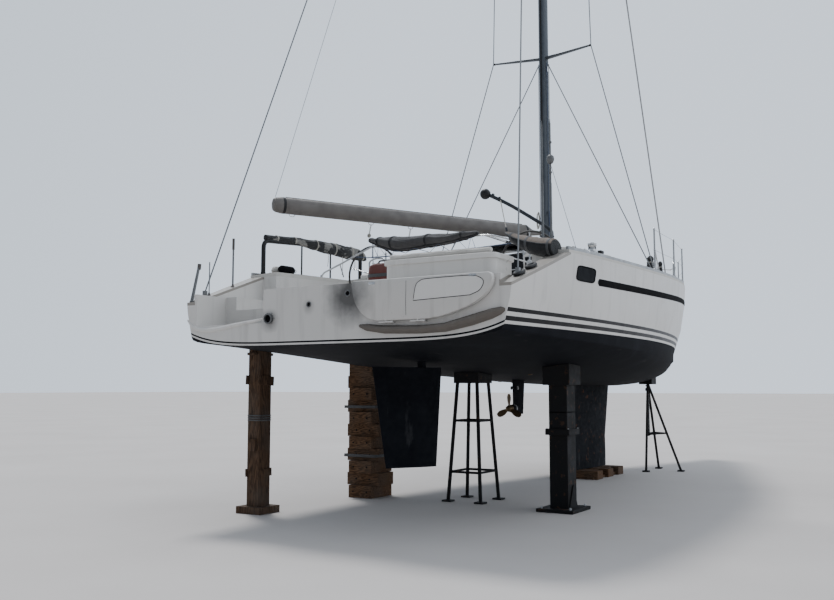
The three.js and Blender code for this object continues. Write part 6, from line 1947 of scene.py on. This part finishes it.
@dataclass
class Rig:
    """The mast's and the boom's fittings, the lines on them and the furling gear."""

    form: HullForm
    mast_t: float = 6.2
    fore: float = 0.115
    side: float = 0.075
    foot: float = 3.895
    head: float = 20.9
    spreaders: Points = ((7.4, 0.9), (11.7, 0.8), (16.0, 0.64))
    boom_t: float = 6.0
    boom_z: float = 4.25
    swing: float = 28.0

    def boom_place(self) -> Matrix:
        """Returns the boom's own frame: X forward along it from the gooseneck, Z up."""
        return Matrix.Translation(at(self.boom_t, 0, self.boom_z)) @ Matrix.Rotation(math.radians(-self.swing), 4, "Z")

    def build(self, yard: Yard) -> None:
        """Makes the rig's gear."""
        yard.put("mast_tube", self.mast(), [Finishes.SPAR, Finishes.BLACK, Finishes.STEEL], replaces=["mast"])
        yard.put("mast_lines", self.mast_lines(), [Finishes.ROPE, Finishes.BLUE_ROPE])
        yard.put("boom_spar", self.boom(), [Finishes.BOOM, Finishes.BLACK, Finishes.STEEL], "boom", ["boom"])
        yard.put("boom_lines", self.boom_lines(), [Finishes.ROPE, Finishes.WIRE], "boom")
        yard.put("furling_gear", self.furler(), [Finishes.WIRE, Finishes.BLACK, Finishes.STEEL], "furler",
                 ["headsail_furler"])

    def mast(self) -> Mesh:
        """Returns the oval mast with its track, spreaders, masthead, gooseneck and collar."""
        maker = Maker()
        heights = [self.foot + 0.0003, self.foot + 0.02, 4.6, 7.4, 11.7, 16.0, self.head - 0.02, self.head]
        rings = []
        for k, z in enumerate(heights):
            scale = 0.985 if k in (0, len(heights) - 1) else 1.0
            rings.append([at(self.mast_t + scale * self.fore * math.cos(a), scale * self.side * math.sin(a), z)
                          for a in turns(40)])
        maker.loft(rings, lengths=heights)
        for z, reach in self.spreaders:
            for side in (1, -1):
                root, tip = at(self.mast_t, 0, z), at(self.mast_t - 0.12, side * reach, z + 0.03)
                way = (tip - root).normalized()
                ahead = Vector((1, 0, 0)) - way.x * way
                ahead.normalize()
                up = way.cross(ahead) * (1 if way.cross(ahead).z > 0 else -1)
                sections = []
                for share, chord in ((0.06, 0.062), (0.12, 0.06), (0.6, 0.046), (0.97, 0.034), (1.0, 0.02)):
                    spot = root.lerp(tip, share)
                    sections.append([spot + chord * math.cos(a) * ahead + 0.34 * chord * math.sin(a) * up
                                     for a in turns(18)])
                maker.loft(sections)
                maker.layer = 1
                maker.ball(tip, 0.021, (1.3, 1.0, 1.0), 14)
                maker.layer = 0
        maker.layer = 1
        aft = self.mast_t - self.fore
        luff = ((0.006, -0.011), (-0.008, -0.014), (-0.012, -0.009), (-0.012, 0.009), (-0.008, 0.014), (0.006, 0.011))
        maker.loft([[at(aft + dx, y, z) for dx, y in luff] for z in (4.4, self.head - 0.3)])
        maker.layer = 0
        maker.block((0.5, 0.09, 0.1), at(self.mast_t - 0.01, 0, self.head - 0.08), 0.014, 3)
        maker.layer = 2
        for t in (self.mast_t - 0.235, self.mast_t + 0.215):
            maker.lathe([(0.035, -0.03), (0.045, -0.026), (0.032, 0), (0.045, 0.026), (0.035, 0.03)],
                        at(t, 0, self.head - 0.05), (0, 1, 0), 22)
        maker.tube([at(self.mast_t - 0.1, 0.02, self.head - 0.035), at(self.mast_t - 0.1, 0.02, self.head + 0.3)],
                   [0.006, 0.0035], 8)
        maker.lathe([(0.03, 0), (0.034, 0.02), (0.03, 0.05), (0.012, 0.06)],
                    at(self.mast_t + 0.05, 0, self.head - 0.004), sides=18)
        maker.layer = 1
        maker.block((0.176, 0.058, 0.1), at(self.boom_t + 0.126, 0, self.boom_z), 0.01)
        for side in (1, -1):
            maker.block((0.086, 0.058, 0.0185), at(self.boom_t + 0.016, 0, self.boom_z + side * 0.0442), 0.006)
        maker.block((0.11, 0.05, 0.06), at(self.mast_t - 0.1, 0, self.boom_z - 0.33), 0.01)
        maker.layer = 2
        maker.lathe([(0.148, 0.0), (0.148, 0.018), (0.13, 0.03)], at(self.mast_t, 0, self.foot + 0.0005), sides=36)
        for side in (1, -1):
            maker.block((0.05, 0.012, 0.1), at(self.mast_t - 0.02, side * (self.side + 0.004), 7.2), 0.003)
        return maker.mesh("mast_tube")

    def mast_lines(self) -> Mesh:
        """Returns the halyards led down the mast and coiled at its foot."""
        maker = Maker()
        for k, (x, y) in enumerate(((0.02, 0.083), (-0.04, 0.08), (0.03, -0.083), (-0.05, -0.078))):
            maker.layer = k % 2
            maker.tube([at(self.mast_t + x, y, self.foot + 0.02), at(self.mast_t + x * 0.9, y * 1.06, 5.4),
                        at(self.mast_t + x, y * 1.02, 7.3)], 0.0055, 8)
        for k, side in enumerate((1, -1)):
            maker.layer = k
            coil = []
            for i, a in enumerate(turns(16, 64)):
                coil.append(at(self.mast_t - 0.06 + 0.05 * math.cos(a), side * (self.side + 0.03 + 0.004 * i / 16),
                               4.52 + 0.14 * math.sin(a) - 0.004 * i / 16))
            maker.tube(coil, 0.0055, 6)
        return maker.mesh("mast_lines")

    def boom(self) -> Mesh:
        """Returns the boom with its track, end casting, sheaves, vang and gooseneck."""
        place = self.boom_place()
        maker = Maker()
        stops = ((4.9, 0.04, 0.06), (4.888, 0.066, 0.088), (4.86, 0.08, 0.105), (4.78, 0.095, 0.12), (3.0, 0.095, 0.12),
                 (0.38, 0.095, 0.12), (0.3, 0.075, 0.1), (0.2, 0.034, 0.052), (0.012, 0.026, 0.03))
        maker.loft([[place @ Vector((-d, w * math.cos(a), h * math.sin(a))) for a in turns(32)]
                    for d, w, h in stops], lengths=[4.9 - d for d, _, _ in stops])
        maker.layer = 1
        track = ((-0.012, 0.112), (-0.015, 0.124), (-0.009, 0.129), (0.009, 0.129), (0.015, 0.124), (0.012, 0.112))
        maker.loft([[place @ Vector((-d, y, h)) for y, h in track] for d in (4.7, 0.42)])
        for d in (4.74, 0.36):
            maker.loft([[place @ Vector((-d - o, (0.0965 if d > 1 else 0.0955) * math.cos(a), 0.1215 * math.sin(a)))
                         for a in turns(32)] for o in (-0.02, 0.02)])
        maker.layer = 2
        for d in (4.6, 3.3, 2.6):
            bail = ((-0.05, -0.112), (-0.03, -0.15), (0.03, -0.15), (0.05, -0.112))
            maker.tube([place @ Vector((-d + ahead, 0, h)) for ahead, h in bail], 0.006, 8)
        maker.layer = 1
        low, high = place @ Vector((-0.04, 0, -0.33)), place @ Vector((-1.35, 0, -0.095))
        maker.tube([low, low.lerp(high, 0.55)], 0.026, 16)
        maker.layer = 2
        maker.tube([low.lerp(high, 0.54), high], 0.019, 14)
        maker.lathe([(0.029, -0.034), (0.0295, 0.034)], place @ Vector((0, 0, 0)), (0, 0, 1), 20)
        for spot in (low, high):
            maker.block((0.06, 0.03, 0.05), Matrix.Translation(spot) @ place.to_3x3().to_4x4(), 0.008)
        return maker.mesh("boom_spar")

    def boom_lines(self) -> Mesh:
        """Returns the topping lift, the reefing lines and the gathered sheet tackle."""
        place = self.boom_place()
        maker = Maker()
        maker.layer = 1
        end = place @ Vector((-4.86, 0, 0.115))
        maker.tube([end, Vector((self.boom_t - KEEL_STATION, 0, self.head - 0.16))], 0.0045, 6)
        maker.layer = 0
        for d0, d1 in ((4.6, 0.5), (3.6, 0.5)):
            maker.tube([place @ Vector((-d0, 0.088, -0.06)), place @ Vector((-(d0 + d1) / 2, 0.1, -0.075)),
                        place @ Vector((-d1, 0.09, -0.055))], 0.0045, 6)
        for d in (3.3, 2.6):
            for shift in (-0.012, 0.012):
                maker.tube([place @ Vector((-d, shift, -0.15)), place @ Vector((-d - 0.03, shift, -0.3))], 0.0045, 6)
            maker.ball(place @ Vector((-d - 0.032, 0, -0.32)), 0.034, (0.6, 1, 1), 14)
        return maker.mesh("boom_lines")

    def furler(self) -> Mesh:
        """Returns the bare headsail foil with its drum and its wound line."""
        foot, head = at(13.62, 0, 4.01), at(6.435, 0, 20.755)
        way = (head - foot).normalized()
        length = (head - foot).length
        maker = Maker()
        maker.tube([foot + 0.07 * way, foot + (length - 0.03) * way], 0.0168, 14)
        maker.layer = 1
        maker.lathe([(0.03, 0.0485), (0.03, 0.059), (0.1, 0.062), (0.105, 0.068), (0.104, 0.076), (0.05, 0.08),
                     (0.046, 0.112), (0.05, 0.146), (0.104, 0.15), (0.105, 0.158), (0.1, 0.166), (0.04, 0.17)],
                    foot, way, 32)
        maker.layer = 2
        maker.lathe([(0.018, 0.168), (0.03, 0.172), (0.03, 0.3), (0.018, 0.31)], foot, way, 18)
        maker.lathe([(0.018, length - 0.4), (0.03, length - 0.39), (0.03, length - 0.24), (0.018, length - 0.23)],
                    foot, way, 18)
        return maker.mesh("furling_gear")


@dataclass
class Underbody:
    """The propeller, the anodes and the skin fittings."""

    form: HullForm
    shaft_t: float = 4.95
    shaft_z: float = 1.3
    blade: Points = ((0.03, 0.05, 52, 0.013), (0.07, 0.085, 47, 0.01), (0.12, 0.112, 41, 0.008),
                     (0.17, 0.112, 36, 0.006), (0.21, 0.082, 32, 0.004), (0.229, 0.04, 30, 0.003))

    def build(self, yard: Yard) -> None:
        """Makes the gear."""
        yard.put("folding_propeller", self.propeller(), [Finishes.BRONZE], "propeller", ["propeller"])
        yard.put("anodes", self.anodes(), [Finishes.ZINC])
        yard.put("skin_fittings", self.skin_fittings(), [Finishes.BRONZE])

    def propeller(self) -> Mesh:
        """Returns the three twisted blades on their hub."""
        maker = Maker()
        aft = Vector((-1, 0, 0))
        origin = at(self.shaft_t, 0, self.shaft_z)
        maker.lathe([(0.054, 0.2305), (0.055, 0.25), (0.052, 0.3), (0.042, 0.34), (0.026, 0.356), (0.008, 0.36)],
                    origin, aft, 28)
        for k in range(3):
            turn = Matrix.Rotation(math.tau * k / 3, 4, "X")
            sections = []
            for radius, chord, pitch, thick in self.blade:
                angle = math.radians(pitch)
                section = []
                for a in turns(20):
                    along, off = chord / 2 * math.cos(a), thick / 2 * math.sin(a)
                    x = along * math.sin(angle) * 0.75 + off * math.cos(angle)
                    y = along * math.cos(angle) - off * math.sin(angle)
                    section.append(origin + Vector((-0.3, 0, 0)) + turn @ Vector((x, y, radius)))
                sections.append(section)
            maker.loft(sections)
        return maker.mesh("folding_propeller", 50)

    def anodes(self) -> Mesh:
        """Returns the anodes on the drive's nose, its cone and the keel's root."""
        maker = Maker()
        origin = at(self.shaft_t, 0, self.shaft_z)
        maker.lathe([(0.0625, -0.02), (0.066, -0.014), (0.066, 0.014), (0.0625, 0.02)], origin + Vector((-0.13, 0, 0)),
                    (1, 0, 0), 28)
        for side in (1, -1):
            maker.lathe([(0.03, 0), (0.028, 0.012), (0.012, 0.016)], at(4.86, side * 0.05, 1.62), (0, side, 0.1), 16)
        return maker.mesh("anodes")

    def skin_fittings(self) -> Mesh:
        """Returns the intakes and drains in the bottom."""
        maker = Maker()
        for t, y in ((5.6, 0.62), (5.9, -0.55), (6.5, 0.8), (3.9, -0.7), (9.4, 0.2)):
            maker.lathe([(0.032, -0.012), (0.032, 0.003), (0.026, 0.007), (0.014, 0.004)],
                        at(t, y, self.form.bottom(t, y)), (0, 0.1 * y, -1), 20)
        return maker.mesh("skin_fittings")


@dataclass
class Supports:
    """Wedges, pads, screw jacks, straps and boards on the yard's blocks, shores and stands."""

    form: HullForm

    def build(self, yard: Yard) -> None:
        """Makes the gear on the supports."""
        yard.put("shore_wedges", self.wedges(), [Finishes.POST, Finishes.SHORE])
        yard.put("stand_screws", self.screws(), [Finishes.STAND, Finishes.ALLOY])
        yard.put("shore_straps", self.straps(), [Finishes.WEBBING])
        self.threads(yard)
        self.bolts(yard)

    def wedges(self) -> Mesh:
        """Returns the wedges, bearing boards and braces."""
        maker = Maker()
        for t, y in ((1.0, 1.9), (3.25, 1.65)):
            z = self.form.bottom(t, y)
            for k, shift in enumerate((-0.07, 0.07)):
                maker.layer = k
                maker.block((0.26, 0.11, 0.034), Matrix.Translation(at(t + shift, y, z - 0.03))
                            @ Matrix.Rotation(math.radians(7 * (1 if k else -1)), 4, "Y"), 0.004)
        maker.layer = 0
        for y in (1.795, 2.005):
            maker.block((0.3, 0.022, 0.12), Matrix.Translation(at(1.0, y, 1.72)) @ Matrix.Rotation(0.06, 4, "Y"), 0.003)
            maker.block((0.26, 0.022, 0.1), Matrix.Translation(at(1.0, y, 0.52)) @ Matrix.Rotation(-0.04, 4, "Y"),
                        0.003)
        maker.layer = 1
        for t in (7.62, 8.3):
            maker.block((0.12, 0.7, 0.022), at(t, 0.02, 0.139), 0.004)
        return maker.mesh("shore_wedges")

    def screws(self) -> Mesh:
        """Returns the jack nuts, handles and pad plates of the stands."""
        maker = Maker()
        for t, y in ((9.7, 0.65), (9.7, -0.65)):
            maker.layer = 0
            maker.lathe([(0.052, 0), (0.052, 0.05), (0.03, 0.06), (0.03, 0.09), (0.045, 0.1), (0.045, 0.118)],
                        at(t, y, 1.56), sides=8)
            maker.tube([at(t - 0.14, y - 0.05, 1.585), at(t + 0.14, y + 0.05, 1.585)], 0.009, 10)
            maker.ball(at(t, y, 0.7), 0.034, sides=14)
        t, y = 3.25, -1.45
        maker.layer = 1
        for i in (1, -1):
            for j in (1, -1):
                maker.lathe([(0.016, 0), (0.016, 0.014), (0.01, 0.03)], at(t + i * 0.26, y + j * 0.2, 0.044), sides=6)
                maker.lathe([(0.012, 0), (0.012, 0.01)], at(t + i * 0.17, y + j * 0.15, 1.079), sides=6)
        maker.layer = 0
        for j in (1, -1):
            maker.plate([(-0.14, 0.0), (0.14, 0.0), (0.0, 0.3)], 0.012,
                        Matrix.Translation(at(t, y + j * 0.136, 0.045)) @ Matrix.Rotation(math.pi / 2, 4, "X"))
        maker.block((0.3, 0.26, 0.02), at(t, y, 1.3), 0.004)
        return maker.mesh("stand_screws")

    def straps(self) -> Mesh:
        """Returns the webbing straps round the timber pile and the lashing on the shore."""
        web = ((1.0, -0.02), (1.008, -0.02), (1.008, 0.02), (1.0, 0.02))
        maker = Maker()
        for z in (0.62, 1.34):
            loop = oblong(0.576, 0.576, 0.02, 3)
            maker.loft([[at(3.25 + x * s, 1.65 + y * s, z + h) for s, h in web] for x, y in [*loop, loop[0]]],
                       caps=False)
        for z in (1.2, 1.23, 1.26):
            loop = [at(1.0 + x, 1.9 + y, z) for x, y in oblong(0.236, 0.216, 0.03, 4)]
            maker.hoop(loop, 0.009, 8)
        return maker.mesh("shore_straps")

    def threads(self, yard: Yard) -> None:
        """Winds the screw threads of the two forward stands."""
        for side, name in BOTH:
            foot, head = at(9.7, side * 0.65, 0.72), at(9.7, side * 0.65, 1.5)
            yard.grow("jack_thread_" + name, Grower.coil(), [foot, foot.lerp(head, 0.5), head],
                      {"Turns": 30.0, "Coil Radius": 0.0265, "Cord Radius": 0.0035}, Finishes.ALLOY, joined=True)

    def bolts(self, yard: Yard) -> None:
        """Sets the dog spikes in the timber pile."""
        spots, ways = [], []
        for k in range(9):
            z = 0.09 + 0.18 * k
            reach = 0.2825 if k % 2 == 0 else 0.2035
            for x in (-0.12, 0.12):
                for side in (1, -1):
                    spots.append(at(3.25 + side * reach, 1.65 + x, z))
                    ways.append((side, 0, 0))
        yard.grow("pile_spikes", Grower.stamps(Stamp.SCREW), spots, {"Width": 0.013, "Length": 0.009, "Height": 0.01},
                  Finishes.STAND, ways=ways)


@dataclass
class Studio:
    """The pale floor, the soft light and the camera."""

    eye: Sequence[float] = (-8.264, -6.143, 1.63)
    heading: float = 31.19
    rise: float = 5.49
    focal: float = 39.2
    surround: Sequence[float] = (0.45, 1.3)
    floor_half: float = 240.0

    def build(self) -> None:
        """Makes the camera, the floor and the lights."""
        self.camera()
        self.floor()
        self.lights()

    def camera(self) -> None:
        """Looks from low on the starboard quarter, a little upwards."""
        data = bpy.data.cameras.new("camera")
        data.lens, data.sensor_width = self.focal, 36.0
        data.clip_end = 400.0
        camera = show("camera", data)
        camera.location = at(*self.eye)
        heading, rise = math.radians(self.heading), math.radians(self.rise)
        way = Vector((math.cos(heading) * math.cos(rise), math.sin(heading) * math.cos(rise), math.sin(rise)))
        camera.rotation_euler = way.to_track_quat("-Z", "Y").to_euler()
        bpy.context.scene.camera = camera

    def floor(self) -> None:
        """Lays a pale floor."""
        half = self.floor_half
        data = bpy.data.meshes.new("floor")
        data.from_pydata([(-half, -half, 0), (half, -half, 0), (half, half, 0), (-half, half, 0)], [], [(0, 1, 2, 3)])
        graph = Graph("pale_floor")
        tone = graph.spread(graph.noise(0.35, 4), 0.3, 0.7)
        graph.set(Base_Color=graph.mix(tone, (0.5, 0.47, 0.45), (0.55, 0.52, 0.5)), Roughness=0.9)
        data.materials.append(graph.material)
        show("floor", data)

    def lights(self) -> None:
        """Sets a broad soft key high to port, a weak fill and an even pale surround."""
        world = bpy.data.worlds.new("studio")
        world.use_nodes = True
        nodes, link = world.node_tree.nodes, world.node_tree.links.new
        nodes["Background"].inputs["Color"].default_value = (0.76, 0.85, 0.97, 1)
        way = nodes.new("ShaderNodeSeparateXYZ")
        link(nodes.new("ShaderNodeTexCoord").outputs["Generated"], way.inputs[0])
        level = nodes.new("ShaderNodeMapRange")
        for slot, value in zip((1, 2, 3, 4), (-1.0, 0.8, *self.surround)):
            level.inputs[slot].default_value = value
        link(way.outputs["X"], level.inputs["Value"])
        link(level.outputs["Result"], nodes["Background"].inputs["Strength"])
        bpy.context.scene.world = world
        for name, power, turn, angle in (("key", 2.4, (30, 0, 140), 12), ("fill", 0.5, (50, 0, 16), 60)):
            data = bpy.data.lights.new(name, "SUN")
            data.energy, data.angle = power, math.radians(angle)
            show(name, data).rotation_euler = [math.radians(a) for a in turn]


# Finish, angle over which an edge stays sharp, width of a bevel on it, and the CAD nodes that keep their own shape
PLAIN_SKINS: Sequence[tuple[Finish, float, float, str]] = (
    (Finishes.HULL, 28, 0.0, "hull"),
    (Finishes.DECK, 28, 0.0, "deck"),
    (Finishes.MOULDING, 28, 0.0, "coachroof"),
    (Finishes.GLAZING, 30, 0.0, "coachroof_glass_port coachroof_glass_stbd"),
    (Finishes.GLAZING, 30, 0.004, "companion_slide"),
    (Finishes.GLAZING, 30, 0.003, "companion_door fore_hatch coachroof_hatch"),
    (Finishes.TEAK, 30, 0.003, "companion_steps"),
    (Finishes.STEEL, 30, 0.0, "mast_post"),
    (Finishes.ALLOY, 30, 0.002, "fore_hatch_coaming"),
    (Finishes.MOULDING, 30, 0.012, "coaming_port coaming_stbd helm_bench_stbd"),
    (Finishes.MOULDING, 30, 0.006, "helm_pedestal_port helm_pedestal_stbd"),
    (Finishes.DECK, 30, 0.004, "locker_lid_port locker_lid_stbd"),
    (Finishes.DOOR, 30, 0.006, "transom_door"),
    (Finishes.TREAD, 30, 0.008, "transom_step"),
    (Finishes.ALLOY_DARK, 30, 0.002, "exhaust_outlet"),
    (Finishes.STEEL, 30, 0.002, "stem_head"),
    (Finishes.FIN, 30, 0.0, "keel"),
    (Finishes.BOTTOM, 30, 0.0, "rudder saildrive_leg"),
    (Finishes.SHORE, 30, 0.008, "keel_blocks timber_pile_port"),
    (Finishes.POST, 30, 0.008, "timber_prop_port"),
    (Finishes.STAND, 30, 0.006, "steel_column_stbd"),
    (Finishes.STAND, 40, 0.0, "frame_stand_aft tripod_stbd tripod_port"),
    (Finishes.ALLOY, 40, 0.0, "toe_rail_port toe_rail_stbd"),
    (Finishes.WIRE, 50, 0.0, "shrouds_port shrouds_stbd backstay_port backstay_stbd"),
)


def main() -> None:
    """Builds every sub-assembly on the frame."""
    logging.basicConfig(level=logging.INFO, format="%(message)s")
    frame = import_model()
    Studio().build()
    yard = Yard(frame)
    form = HullForm()
    for assembly in (Topsides, Transom, SternGear, Cockpit, DeckGear, Rails, Rig, Underbody, Supports):
        assembly(form).build(yard)
    skins = {node: row for *row, nodes in PLAIN_SKINS for node in nodes.split()}
    for node in sorted(yard.left):
        yard.skin(node, *skins[node])


if __name__ == "__main__":
    main()
